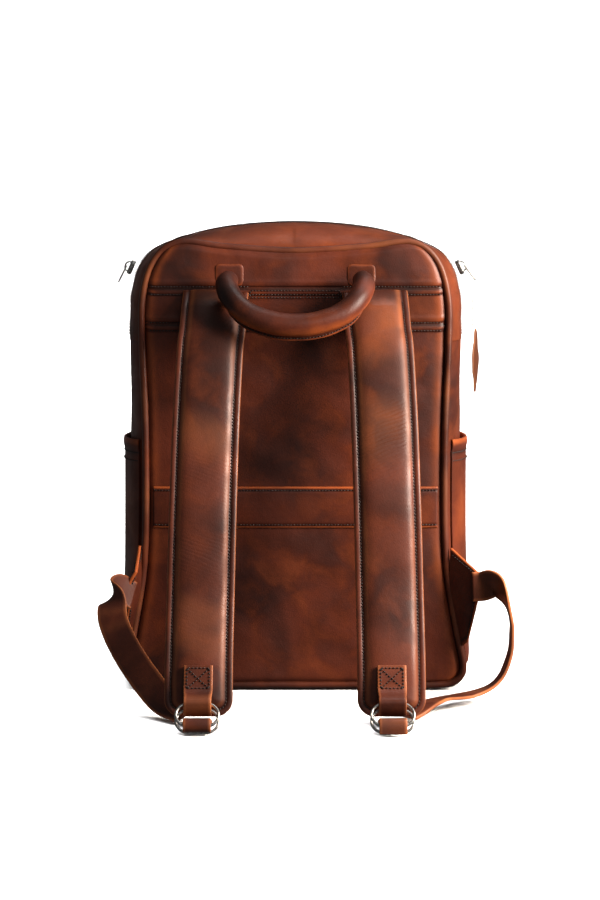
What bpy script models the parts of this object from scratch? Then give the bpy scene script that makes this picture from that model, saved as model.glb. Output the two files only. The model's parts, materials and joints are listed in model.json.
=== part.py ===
"""Leather laptop backpack, standing on its base, harness side towards -Y.

Units are metres, +Z is up, and the origin is the middle of the base, on the surface that the bag
stands on. +X is to the right for someone who looks at the harness. Every piece is its own object.
"""
import math

import bpy
import numpy as np

# ------------------------------------------------------------------ driving dimensions
HALF_DEPTH = 0.0625        # outer face of the back and front panels
PANEL = 0.003              # thickness of a panel
WALL = 0.0024              # thickness of the gusset leather
LEATHER = 0.0026           # thickness of a plain strap
GAP = 0.0005               # clearance left at every seam
WALL_EDGE = HALF_DEPTH - PANEL - GAP      # where the gusset starts, front and back
PIPING_RADIUS = 0.003

# Right half of the outline, bottom middle to top middle, as (x, z): once at the panels' edges and
# once at mid depth, where the gusset bulges. Points of the same rank lie beside each other.
PANEL_EDGE = [(0.0, 0.008), (0.070, 0.008), (0.122, 0.008), (0.138, 0.011), (0.1435, 0.022),
              (0.137, 0.055), (0.1275, 0.120), (0.126, 0.220), (0.1285, 0.305), (0.1275, 0.345),
              (0.118, 0.374), (0.098, 0.3875), (0.060, 0.3835), (0.0, 0.380)]
CREST = [(0.0, 0.0), (0.070, 0.0), (0.125, 0.0), (0.146, 0.004), (0.152, 0.022),
         (0.150, 0.055), (0.147, 0.120), (0.146, 0.220), (0.1465, 0.305), (0.1442, 0.350),
         (0.131, 0.378), (0.102, 0.3925), (0.058, 0.4030), (0.0, 0.407)]
BASE_END, ZIP_END, TOP = 4, 8, 13         # ranks: base meets side, zip meets side, top middle

YOKE_SEAM, STRIP_SEAM = 0.3505, 0.3195    # heights of the two seams across the back
BAND_LOW, BAND_HIGH, BAND_SLACK = 0.1435, 0.180, 0.0055
POCKET_HEM, POCKET_MOUTH = 0.220, 0.0062  # side pocket: height of its hem, how far it stands off
ZIP_HALF = 0.0075                         # half the width of the zip tape

STRAP_WIDTH, STRAP_THICK = 0.056, 0.0125
STRAP_ROUTE = [(0.0680, -0.0672, 0.3485), (0.0690, -0.081, 0.334), (0.0702, -0.0935, 0.317),
               (0.0720, -0.1035, 0.300), (0.0745, -0.128, 0.245), (0.0765, -0.151, 0.175),
               (0.078, -0.168, 0.105), (0.079, -0.1865, 0.050), (0.079, -0.198, 0.008)]
STRAP_HINGE_RANK = 3
LOWER_STRAP = 0.025                       # width of the adjusting strap

RING_X = 0.079
RING_LONG, RING_SHORT, RING_WIRE = 0.0345, 0.0195, 0.00125   # oval ring, middle of its wire
RING_TILT = math.radians(52)
UPPER_RING, LOWER_RING = (-0.2225, 0.0152), (-0.2195, 0.0092)   # y and z of each ring's middle

HANDLE_AXIS = (-0.079, 0.360)             # y and z of the line that the handle swings about
HANDLE_ROUTE = [(0.0565, -0.079, 0.360), (0.0580, -0.090, 0.3545), (0.0530, -0.1035, 0.3445),
                (0.0400, -0.1120, 0.3330), (0.0200, -0.1165, 0.3255), (0.0, -0.1180, 0.3235)]
HANDLE_RADIUS = 0.0095

SLIDER_Z = 0.3625                         # where both main sliders are parked
SLIDER_LEAN = math.radians(24)            # slope of the wall there, from upright
PULL_HANG = math.radians(27), math.radians(38)   # how far the left and the right pull stand out
PULL_LENGTH, CHAIN_LENGTH = 0.017, 0.036
TAG_TURN = math.radians(12)               # turn of the tag from the plane of the zip
POCKET_X, POCKET_LOW, POCKET_HIGH, POCKET_DEEP = 0.098, 0.045, 0.240, 0.020

LEATHER_DARK, LEATHER_MID, LEATHER_LIGHT = "4A2318", "6E3420", "A9552B"
NICKEL, FOAM, BOARD, TAPE = "C9C7C2", "3B3B3D", "2E2A28", "2A1A15"


# ------------------------------------------------------------------ helpers
def srgb(code):
    """Turn an sRGB hex colour into linear RGBA."""
    channels = [int(code[i:i + 2], 16) / 255 for i in (0, 2, 4)]
    return [c / 12.92 if c <= 0.04045 else ((c + 0.055) / 1.055) ** 2.4 for c in channels] + [1.0]


def material(name, code, roughness, metallic=0.0):
    """Give the named Principled material, made once."""
    found = bpy.data.materials.get(name)
    if found:
        return found
    made = bpy.data.materials.new(name)
    made.use_nodes = True
    shader = made.node_tree.nodes["Principled BSDF"]
    shader.inputs["Base Color"].default_value = srgb(code)
    shader.inputs["Roughness"].default_value = roughness
    shader.inputs["Metallic"].default_value = metallic
    return made


def leather():
    return material("leather", LEATHER_MID, 0.45)


def nickel():
    return material("nickel", NICKEL, 0.2, 1.0)


def link(name, data, finish, origin=(0, 0, 0)):
    """Put data in a new object, in the bag's collection, with its material."""
    obj = bpy.data.objects.new(name, data)
    obj.location = origin
    data.materials.append(finish)
    PARTS.objects.link(obj)
    return obj


def smooth_curve(points, per_span=4):
    """Run a Catmull-Rom curve through the points; per_span samples for each span.

    A half outline, which starts and ends on the mirror plane x = 0, runs level across it.
    """
    pts = np.array(points, float)
    if pts[0, 0] == 0 and pts[-1, 0] == 0:
        padded = np.vstack([pts[1] * (-1, 1), pts, pts[-2] * (-1, 1)])
    else:
        padded = np.vstack([2 * pts[0] - pts[1], pts, 2 * pts[-1] - pts[-2]])
    t = np.linspace(0, 1, per_span, endpoint=False)[:, None]
    spans = []
    for i in range(len(pts) - 1):
        a, b, c, d = padded[i:i + 4]
        spans.append(0.5 * (2 * b + (c - a) * t + (2 * a - 5 * b + 4 * c - d) * t ** 2
                            + (3 * b - a - 3 * c + d) * t ** 3))
    return np.vstack(spans + [pts[-1:]])


def at_rank(points, ranks):
    """Read the smooth curve through the points at fractional ranks."""
    fine = smooth_curve(points, 16)
    where = np.linspace(0, len(points) - 1, len(fine))
    return np.stack([np.interp(ranks, where, fine[:, k]) for k in range(fine.shape[1])], -1)


def sheet(name, grid, thickness, finish, offset=0.0):
    """Make a grid of points (rows, columns, 3) a wall: an open surface with Solidify."""
    rows, columns = grid.shape[:2]
    faces = [(r * columns + c, r * columns + c + 1, (r + 1) * columns + c + 1, (r + 1) * columns + c)
             for r in range(rows - 1) for c in range(columns - 1)]
    mesh = bpy.data.meshes.new(name)
    mesh.from_pydata(grid.reshape(-1, 3).tolist(), [], faces)
    obj = link(name, mesh, finish)
    wall = obj.modifiers.new("thickness", "SOLIDIFY")
    wall.thickness = thickness
    wall.offset = offset
    wall.use_even_offset = True
    return obj


def plate(name, outline, y_outer, y_inner, finish):
    """Make an outline of (x, z) points a flat plate between two depths."""
    mesh = bpy.data.meshes.new(name)
    mid = (y_outer + y_inner) / 2
    mesh.from_pydata([(x, mid, z) for x, z in outline], [], [list(range(len(outline)))])
    obj = link(name, mesh, finish)
    wall = obj.modifiers.new("thickness", "SOLIDIFY")
    wall.thickness = abs(y_outer - y_inner)
    wall.offset = 0.0
    return obj


def block(name, centre, size, finish, bevel=0.0006, turn=(0, 0, 0)):
    """Make a cuboid with softened edges, its origin at its centre."""
    bpy.ops.mesh.primitive_cube_add(size=1)
    obj = bpy.context.object
    obj.name = name
    obj.data.name = name
    for vertex in obj.data.vertices:
        vertex.co = [c * s for c, s in zip(vertex.co, size)]
    for other in list(obj.users_collection):
        other.objects.unlink(obj)
    PARTS.objects.link(obj)
    obj.location = centre
    obj.rotation_euler = turn
    obj.data.materials.append(finish)
    edge = obj.modifiers.new("edges", "BEVEL")
    edge.width = bevel
    edge.segments = 1
    return obj


def tube(name, points, radius, finish, cyclic=False, resolution=2):
    """Make a round bar along the points."""
    curve = bpy.data.curves.new(name, "CURVE")
    curve.dimensions = "3D"
    curve.bevel_depth = radius
    curve.bevel_resolution = resolution
    curve.use_fill_caps = not cyclic
    spline = curve.splines.new("POLY")
    spline.points.add(len(points) - 1)
    for point, place in zip(spline.points, points):
        point.co = (*place, 1.0)
    spline.use_cyclic_u = cyclic
    return link(name, curve, finish)


def ribbon(name, centre, across, width, thickness, finish, offset=0.0):
    """Make a flat strap along centre points; across points along its width at each of them."""
    centre, across = np.array(centre, float), np.array(across, float)
    along = np.gradient(centre, axis=0)
    along /= np.linalg.norm(along, axis=1)[:, None]
    across = across - along * np.sum(across * along, 1)[:, None]
    across /= np.linalg.norm(across, axis=1)[:, None]
    side = across * (np.broadcast_to(width, len(centre)) / 2)[:, None]
    middle = centre + np.cross(along, across) * offset
    return sheet(name, np.stack([middle - side, middle + side], 1), thickness, finish)


def mirrored(points, sign):
    """Move points to the left half when sign is -1."""
    pts = np.array(points, float)
    pts[..., 0] *= sign
    return pts


# ------------------------------------------------------------------ the bag's surface
def bulge(ranks, y):
    """How far a wall has gone from the panel's edge (0) to the crest (1), by rank and depth.

    The sides and top are a flattened arch. The base is flat but for its two long edges.
    """
    across = np.clip(np.abs(y) / WALL_EDGE, 0, 1)
    arch = (1 - across ** 2.3) ** (1 / 1.6)
    flat = np.cos(np.clip((across - 0.78) / 0.22, 0, 1) * math.pi / 2)
    part = np.clip((BASE_END - ranks) / 1.6, 0, 1)
    return arch + (flat - arch) * part


def wall_grid(sign, ranks, depths, proud=0.0):
    """Points of the gusset's outer face for one half of the bag, rows by rank, columns by depth."""
    r, y = np.meshgrid(ranks, depths, indexing="ij")
    k = bulge(r, y)[..., None]
    place = at_rank(PANEL_EDGE, r) * (1 - k) + at_rank(CREST, r) * k
    step = 0.01
    ahead = at_rank(PANEL_EDGE, r + step) * (1 - k) + at_rank(CREST, r + step) * k
    behind = at_rank(PANEL_EDGE, r - step) * (1 - k) + at_rank(CREST, r - step) * k
    way = ahead - behind
    out = np.stack([way[..., 1], -way[..., 0]], -1)
    out /= np.maximum(np.linalg.norm(out, axis=-1), 1e-9)[..., None]
    place = place + out * (PIPING_RADIUS * (1 - k) + np.broadcast_to(proud, r.shape)[..., None])
    place[..., 1] = np.maximum(place[..., 1], 0.0)
    return np.stack([sign * place[..., 0], y, place[..., 1]], -1)


def arch_grid(depths, first_rank, proud=0.0, per_rank=3):
    """The wall from the left side, over the top, to the right side."""
    ranks = np.linspace(first_rank, TOP, int(round((TOP - first_rank) * per_rank)) + 1)
    left = wall_grid(-1, ranks, depths, proud)
    right = wall_grid(1, ranks, depths, proud)
    return np.concatenate([left[:-1], right[::-1]])


def half_edge(low, high):
    """The panel's right edge between two heights, as (x, z) points from low to the top middle."""
    fine = smooth_curve(PANEL_EDGE, 5)
    inside = (fine[:, 1] > low + 0.001) & (fine[:, 1] < high - 0.001)
    side = fine[3 * 5:10 * 5]
    ends = [(np.interp(z, side[:, 1], side[:, 0]), z) for z in (low, high)]
    start = [ends[0]] if low > PANEL_EDGE[0][1] else []
    finish = [ends[1]] if high < PANEL_EDGE[-1][1] else []
    return start + [tuple(p) for p in fine[inside]] + finish


def panel_outline(low, high):
    """The closed outline of the part of a panel between two heights."""
    right = half_edge(low, high)
    left = [(-x, z) for x, z in reversed(right) if abs(x) > 1e-6]
    return right + left


# ------------------------------------------------------------------ panels, piping and walls
def panels():
    """The back in three leather panels, its foam, the front panel and both pipings."""
    back, inner = -HALF_DEPTH, -HALF_DEPTH + PANEL
    plate("back_yoke", panel_outline(YOKE_SEAM + GAP, 0.5), back, inner, leather())
    plate("back_strip", panel_outline(STRIP_SEAM + GAP, YOKE_SEAM), back, inner, leather())
    plate("back_panel", panel_outline(0.0, STRIP_SEAM), back, inner, leather())
    plate("front_panel", panel_outline(0.0, 0.5), -back, -inner, leather())
    foam = material("foam", FOAM, 0.9)
    block("back_foam", (0, inner + 0.0045, 0.175), (0.226, 0.007, 0.300), foam, 0.003)
    edge = smooth_curve(PANEL_EDGE, 3)
    way = np.gradient(edge, axis=0)
    out = np.stack([way[:, 1], -way[:, 0]], -1)
    out[[0, -1]] = (0, -1), (0, 1)
    edge = edge + out / np.linalg.norm(out, axis=1)[:, None] * (PIPING_RADIUS + GAP)
    loop = np.vstack([edge, (edge * (-1, 1))[-2:0:-1]])
    for name, y in (("back_piping", -HALF_DEPTH), ("front_piping", HALF_DEPTH)):
        tube(name, [(x, y, z) for x, z in loop], PIPING_RADIUS, leather(), cyclic=True, resolution=1)


def gusset():
    """Base, sides and the two leather strips beside the main zip."""
    whole = np.linspace(-WALL_EDGE, WALL_EDGE, 13)
    ranks = np.linspace(0, BASE_END - 0.02, 13)
    base = np.concatenate([wall_grid(-1, ranks, whole)[::-1][:-1], wall_grid(1, ranks, whole)])
    sheet("base_panel", base, WALL, material("base_leather", LEATHER_DARK, 0.45), offset=-1.0)
    ranks = np.linspace(BASE_END + 0.01, ZIP_END - 0.01, 13)
    for word, sign in (("left", -1), ("right", 1)):
        sheet(f"side_gusset_{word}", wall_grid(sign, ranks, whole), WALL, leather(), offset=-sign)
    for word, sign in (("back", -1), ("front", 1)):
        depths = sign * np.linspace(WALL_EDGE, ZIP_HALF + GAP, 5)
        sheet(f"zip_strip_{word}", arch_grid(depths, ZIP_END), WALL, leather(), offset=-sign)


def main_zip():
    """The zip's tape, sunk between the strips, and its row of teeth."""
    depths = np.linspace(-ZIP_HALF, ZIP_HALF, 3)
    sheet("zip_tape", arch_grid(depths, ZIP_END, -0.0012), 0.001, material("tape", TAPE, 0.8), 0.0)
    sheet("zip_teeth", arch_grid(np.linspace(-0.0025, 0.0025, 2), ZIP_END + 0.05, 0.0008),
          0.0022, nickel(), 0.0)


def side_pockets():
    """An open pocket over the lower half of each side, standing off at its hem."""
    fine = smooth_curve(CREST, 16)
    heights = fine[BASE_END * 16:ZIP_END * 16, 1]
    hem_rank = BASE_END + np.interp(POCKET_HEM, heights, np.arange(len(heights))) / 16
    ranks = np.linspace(BASE_END + 0.03, hem_rank, 9)
    depths = np.linspace(-WALL_EDGE + 0.004, WALL_EDGE - 0.004, 11)
    rise = ((ranks - BASE_END) / (hem_rank - BASE_END))[:, None] ** 0.6
    sides = np.clip(1.12 - (np.abs(depths) / WALL_EDGE) ** 4, 0, 1)[None, :]
    proud = 0.0006 + (POCKET_MOUTH - 0.0004) * rise * sides
    for word, sign in (("left", -1), ("right", 1)):
        sheet(f"side_pocket_{word}", wall_grid(sign, ranks, depths, proud), 0.002, leather(), sign)


def inside():
    """The stiff board on the base and the padded laptop sleeve."""
    block("base_board", (0, 0, 0.0045), (0.236, 0.088, 0.003), material("board", BOARD, 0.7), 0.001)
    block("laptop_sleeve", (0, -0.030, 0.165), (0.236, 0.005, 0.270),
          material("lining", "5A4638", 0.9), 0.002)


def trolley_band():
    """A band across the back, open above and below, that slips over a trolley handle."""
    x = np.linspace(-1, 1, 13) * 0.1225
    slack = BAND_SLACK * np.clip((1 - np.abs(x / 0.1225) ** 10), 0.08, 1)
    y = -HALF_DEPTH - 0.0014 - slack
    centre = np.stack([x, y, np.full_like(x, (BAND_LOW + BAND_HIGH) / 2)], -1)
    ribbon("trolley_band", centre, np.tile((0, 0, 1.0), (13, 1)), BAND_HIGH - BAND_LOW, 0.002,
           leather())


# ------------------------------------------------------------------ front pocket
def front_pocket():
    """A shallow pocket on the front: a leather tray with a zip along its upper edge."""
    corner, wall = 0.022, 0.0022
    arc = np.linspace(0, math.pi / 2, 5)
    outline = []
    for quarter, (sx, sz) in enumerate(((1, 1), (-1, 1), (-1, -1), (1, -1))):
        cx = sx * (POCKET_X - corner)
        cz = (POCKET_HIGH if sz > 0 else POCKET_LOW) - sz * corner
        turn = arc + quarter * math.pi / 2
        outline += [(cx + corner * math.cos(a), cz + corner * math.sin(a)) for a in turn]
    ring = np.array(outline + outline[:1])
    middle = np.array([0, (POCKET_LOW + POCKET_HIGH) / 2])
    near, far = HALF_DEPTH + 0.0005, HALF_DEPTH + POCKET_DEEP
    rows = [(1.0, near), (1.0, far - 0.004), (0.985, far - 0.001), (0.955, far), (0.02, far)]
    grid = [[(*(middle + (p - middle) * s), y) for p in ring] for s, y in rows]
    grid = np.array(grid)[..., [0, 2, 1]]
    rows_n, n = grid.shape[0], len(outline)
    points = grid[:, :-1].reshape(-1, 3).tolist()
    faces = [(r * n + c, r * n + (c + 1) % n, (r + 1) * n + (c + 1) % n, (r + 1) * n + c)
             for r in range(rows_n - 1) for c in range(n)]
    faces.append([(rows_n - 1) * n + c for c in range(n)])
    mesh = bpy.data.meshes.new("front_pocket")
    mesh.from_pydata(points, [], faces)
    tray = link("front_pocket", mesh, leather())
    solid = tray.modifiers.new("thickness", "SOLIDIFY")
    solid.thickness, solid.offset = wall, 0.0
    y, z = far + wall / 2 + 0.0012, POCKET_HIGH - 0.020
    block("front_pocket_zip", (0, y, z), (2 * POCKET_X - 0.046, 0.0016, 0.009),
          material("tape", TAPE, 0.8), 0.0003)
    x = -POCKET_X + 0.036
    block("pocket_slider", (x, y + 0.0034, z), (0.012, 0.0042, 0.008), nickel())
    block("pocket_pull", (x, y + 0.0074, z + 0.0006 - PULL_LENGTH / 2), (0.007, 0.0016, PULL_LENGTH),
          nickel(), 0.0004)


# ------------------------------------------------------------------ harness
def strap_centre(first, last, count):
    """Centre points of the right shoulder strap between two ranks of its route."""
    return at_rank(STRAP_ROUTE, np.linspace(first, last, count))


def shoulder_straps():
    """Root, face, foam and lining of each shoulder strap."""
    layers = (("face", 0.0018, 0.0053), ("foam", 0.0078, 0.0), ("lining", 0.0018, -0.0053))
    finishes = {"face": leather(), "foam": material("foam", FOAM, 0.9), "lining": leather()}
    for word, sign in (("left", -1), ("right", 1)):
        root = mirrored(strap_centre(0, STRAP_HINGE_RANK - 0.06, 6), sign)
        across = np.tile((1.0, 0, 0), (len(root), 1))
        ribbon(f"strap_root_{word}", root, across, STRAP_WIDTH - 0.002, 0.006, leather())
        path = mirrored(strap_centre(STRAP_HINGE_RANK + 0.02, len(STRAP_ROUTE) - 1, 13), sign)
        across = np.tile((1.0, 0, 0), (len(path), 1))
        for layer, thickness, offset in layers:
            narrow = 0.010 if layer == "foam" else 0.0
            ribbon(f"strap_{layer}_{word}", path, across, STRAP_WIDTH - narrow, thickness,
                   finishes[layer], offset)


def ring(name, sign, middle):
    """An oval wire ring with two straight bars, leaning outwards from the strap's end."""
    radius = RING_SHORT / 2
    straight = RING_LONG / 2 - radius
    turn = np.linspace(-math.pi / 2, math.pi / 2, 9)
    half = np.stack([straight + radius * np.cos(turn), radius * np.sin(turn)], -1)
    oval = np.vstack([half, -half])
    tube(name, [(sign * RING_X + u, middle[0] + v * math.cos(RING_TILT),
                 middle[1] + v * math.sin(RING_TILT)) for u, v in oval],
         RING_WIRE, nickel(), cyclic=True)


def strap_ends():
    """Stitched tab, two rings and the threaded end of the adjusting strap, on each side."""
    tab = [(-0.1955, 0.0500), (-0.2020, 0.0370), (-0.2085, 0.0305), (-0.2187, 0.0265),
           (-0.2199, 0.0218), (-0.2177, 0.0158), (-0.2140, 0.0132), (-0.2105, 0.0148)]
    through = [(-0.1925, 0.0030), (-0.2065, 0.0036), (-0.2210, 0.0078), (-0.2250, 0.0118),
               (-0.2295, 0.0127)]
    threads = {"left": through + [(-0.2330, 0.0102), (-0.2331, 0.0060), (-0.2295, 0.0036),
                                  (-0.2262, 0.0050)],
               "right": through + [(-0.2333, 0.0095), (-0.2350, 0.0022)]}
    for word, sign in (("left", -1), ("right", 1)):
        path = smooth_curve([(sign * RING_X, y, z) for y, z in tab], 3)
        ribbon(f"ring_tab_{word}", path, np.tile((1.0, 0, 0), (len(path), 1)), 0.023, 0.0022,
               material("tab_leather", LEATHER_DARK, 0.5))
        ring(f"ring_upper_{word}", sign, UPPER_RING)
        ring(f"ring_lower_{word}", sign, LOWER_RING)
        path = smooth_curve([(sign * RING_X, y, z) for y, z in threads[word]], 3)
        ribbon(f"strap_end_{word}", path, np.tile((1.0, 0, 0), (len(path), 1)), 0.0225, 0.002,
               leather())


LEFT_LOOP = [((0.1500, -0.0925, 0.0965), (-0.1, 0.7, 0.7)), ((0.1550, -0.104, 0.0905), (-0.5, 0.75, 0.3)),
             ((0.1545, -0.122, 0.0740), (-0.75, 0.5, 0.35)), ((0.1420, -0.143, 0.0520), (-0.9, 0.1, 0.6)),
             ((0.1235, -0.1600, 0.0290), (-1.0, 0.0, 0.4)), ((0.1080, -0.1720, 0.0140), (-1.0, 0.1, 0.2))]
RIGHT_LOOP = [((0.1610, -0.086, 0.0960), (0.1, 0.0, 1.0)), ((0.1720, -0.093, 0.0985), (0.3, -0.6, 0.8)),
              ((0.1820, -0.099, 0.0800), (0.0, -1.0, 0.2)), ((0.1855, -0.103, 0.0560), (0.0, -1.0, 0.0)),
              ((0.1810, -0.107, 0.0320), (0.0, -1.0, 0.0)), ((0.1680, -0.112, 0.0150), (0.0, -1.0, 0.1)),
              ((0.1460, -0.120, 0.0085), (0.2, -1.0, 0.1)), ((0.1200, -0.145, 0.0105), (0.6, -0.8, 0.2)),
              ((0.1060, -0.1700, 0.0115), (1.0, -0.3, 0.1))]


def lower_straps():
    """The triangular wing in each side seam and the adjusting strap that leaves it."""
    wings = {"left": [((0.1355, -0.0665, 0.128), (0.1370, -0.0850, 0.1085)),
                      ((0.1350, -0.0665, 0.098), (0.1440, -0.0845, 0.0965)),
                      ((0.1400, -0.0665, 0.068), (0.1440, -0.0830, 0.0840)),
                      ((0.1470, -0.0665, 0.040), (0.1490, -0.0690, 0.0440))],
             "right": [((0.1355, -0.0665, 0.126), (0.1565, -0.0850, 0.1085)),
                       ((0.1350, -0.0665, 0.098), (0.1585, -0.0850, 0.0965)),
                       ((0.1400, -0.0665, 0.068), (0.1575, -0.0840, 0.0840)),
                       ((0.1470, -0.0665, 0.040), (0.1500, -0.0690, 0.0440))]}
    loops = {"left": LEFT_LOOP, "right": RIGHT_LOOP}
    for word, sign in (("left", -1), ("right", 1)):
        grid = mirrored(wings[word], sign)
        sheet(f"wing_{word}", grid, 0.003, leather())
        centre = mirrored(smooth_curve([p for p, _ in loops[word]], 4), sign)
        across = mirrored(smooth_curve([a for _, a in loops[word]], 4), sign)
        ribbon(f"lower_strap_{word}", centre, across, LOWER_STRAP, LEATHER, leather())


def handle():
    """The rolled grip, its sewn fin, and the two tabs that it swings on."""
    half = smooth_curve(HANDLE_ROUTE, 4)
    path = np.vstack([mirrored(half, -1)[:-1], half[::-1]])
    tube("handle_grip", path, HANDLE_RADIUS, leather(), resolution=2)
    along = np.gradient(path, axis=0)
    down = np.cross(along, np.cross((0, -0.35, -0.94), along))
    down /= np.linalg.norm(down, axis=1)[:, None]
    start, end = 7, len(path) - 7
    fin = path[start:end] + down[start:end] * (HANDLE_RADIUS + 0.0034)
    ribbon("handle_fin", fin, down[start:end], 0.005, 0.002, leather())
    for word, sign in (("left", -1), ("right", 1)):
        block(f"handle_tab_{word}", (sign * 0.0565, -HALF_DEPTH - 0.0030, HANDLE_AXIS[1] + 0.003),
              (0.026, 0.0048, 0.020), leather(), 0.0010)


# ------------------------------------------------------------------ zip sliders, chain and tag
def sliders():
    """Both main sliders with their pulls, and the ball chain with its leather tag."""
    rank = np.interp(SLIDER_Z, (CREST[ZIP_END + 1][1], CREST[ZIP_END + 2][1]), (ZIP_END + 1, ZIP_END + 2))
    spot = at_rank(CREST, np.array([rank]))[0]
    out = np.array([math.cos(SLIDER_LEAN), math.sin(SLIDER_LEAN)])
    centre, pivot = spot + out * 0.0057, spot + out * 0.0100
    for word, sign, hang in (("left", -1, PULL_HANG[0]), ("right", 1, PULL_HANG[1])):
        block(f"zip_slider_{word}", (sign * centre[0], 0, centre[1]), (0.0046, 0.010, 0.013),
              nickel(), turn=(0, -sign * SLIDER_LEAN, 0))
        middle = pivot + np.array([math.sin(hang), -math.cos(hang)]) * PULL_LENGTH / 2
        block(f"zip_pull_{word}", (sign * middle[0], 0, middle[1]),
              (0.0016, 0.008, PULL_LENGTH), nickel(), 0.0004, turn=(0, -sign * hang, 0))
    x, z = pivot + np.array([math.sin(hang), -math.cos(hang)]) * (PULL_LENGTH + 0.0012) - (0, 0.0022)
    arc = np.linspace(0, math.pi, 7)
    upper = [(x, 0.0035 * math.cos(a), z - 0.0025 * (1 - math.sin(a))) for a in arc]
    lower = [(x, -0.0035 * math.cos(a), z - CHAIN_LENGTH + 0.0025 * (1 - math.sin(a))) for a in arc]
    tube("ball_chain", upper + lower, 0.0011, nickel(), cyclic=True)
    turn = np.linspace(0, 2 * math.pi, 40, endpoint=False)
    reach = 1 + 0.10 * np.cos(4 * turn + 0.6) + 0.05 * np.cos(7 * turn)
    outline = np.stack([0.0185 * reach * np.cos(turn), 0.0265 * reach * np.sin(turn)], -1)
    mesh = bpy.data.meshes.new("leather_tag")
    height = z - CHAIN_LENGTH - 0.0305
    mesh.from_pydata([(0, y, v) for y, v in outline], [], [list(range(len(outline)))])
    tag = link("leather_tag", mesh, material("tag_leather", LEATHER_LIGHT, 0.5), (x, 0, height))
    tag.rotation_euler = (0, 0, -TAG_TURN)
    wall = tag.modifiers.new("thickness", "SOLIDIFY")
    wall.thickness, wall.offset = 0.0022, 0.0


def shade_smooth():
    """Shade every mesh smooth but for its sharp edges."""
    for obj in PARTS.objects:
        if obj.type == "MESH":
            obj.data.shade_smooth()


for old in list(bpy.data.objects):
    bpy.data.objects.remove(old, do_unlink=True)
PARTS = bpy.data.collections.new("Leather backpack")
bpy.context.scene.collection.children.link(PARTS)
for build_step in (panels, gusset, main_zip, side_pockets, inside, trolley_band, front_pocket,
                   shoulder_straps, strap_ends, lower_straps, handle, sliders, shade_smooth):
    build_step()
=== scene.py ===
"""A leather laptop backpack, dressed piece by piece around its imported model. Metres, +Z up, harness at -Y."""
import sys
import json
import math

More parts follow.
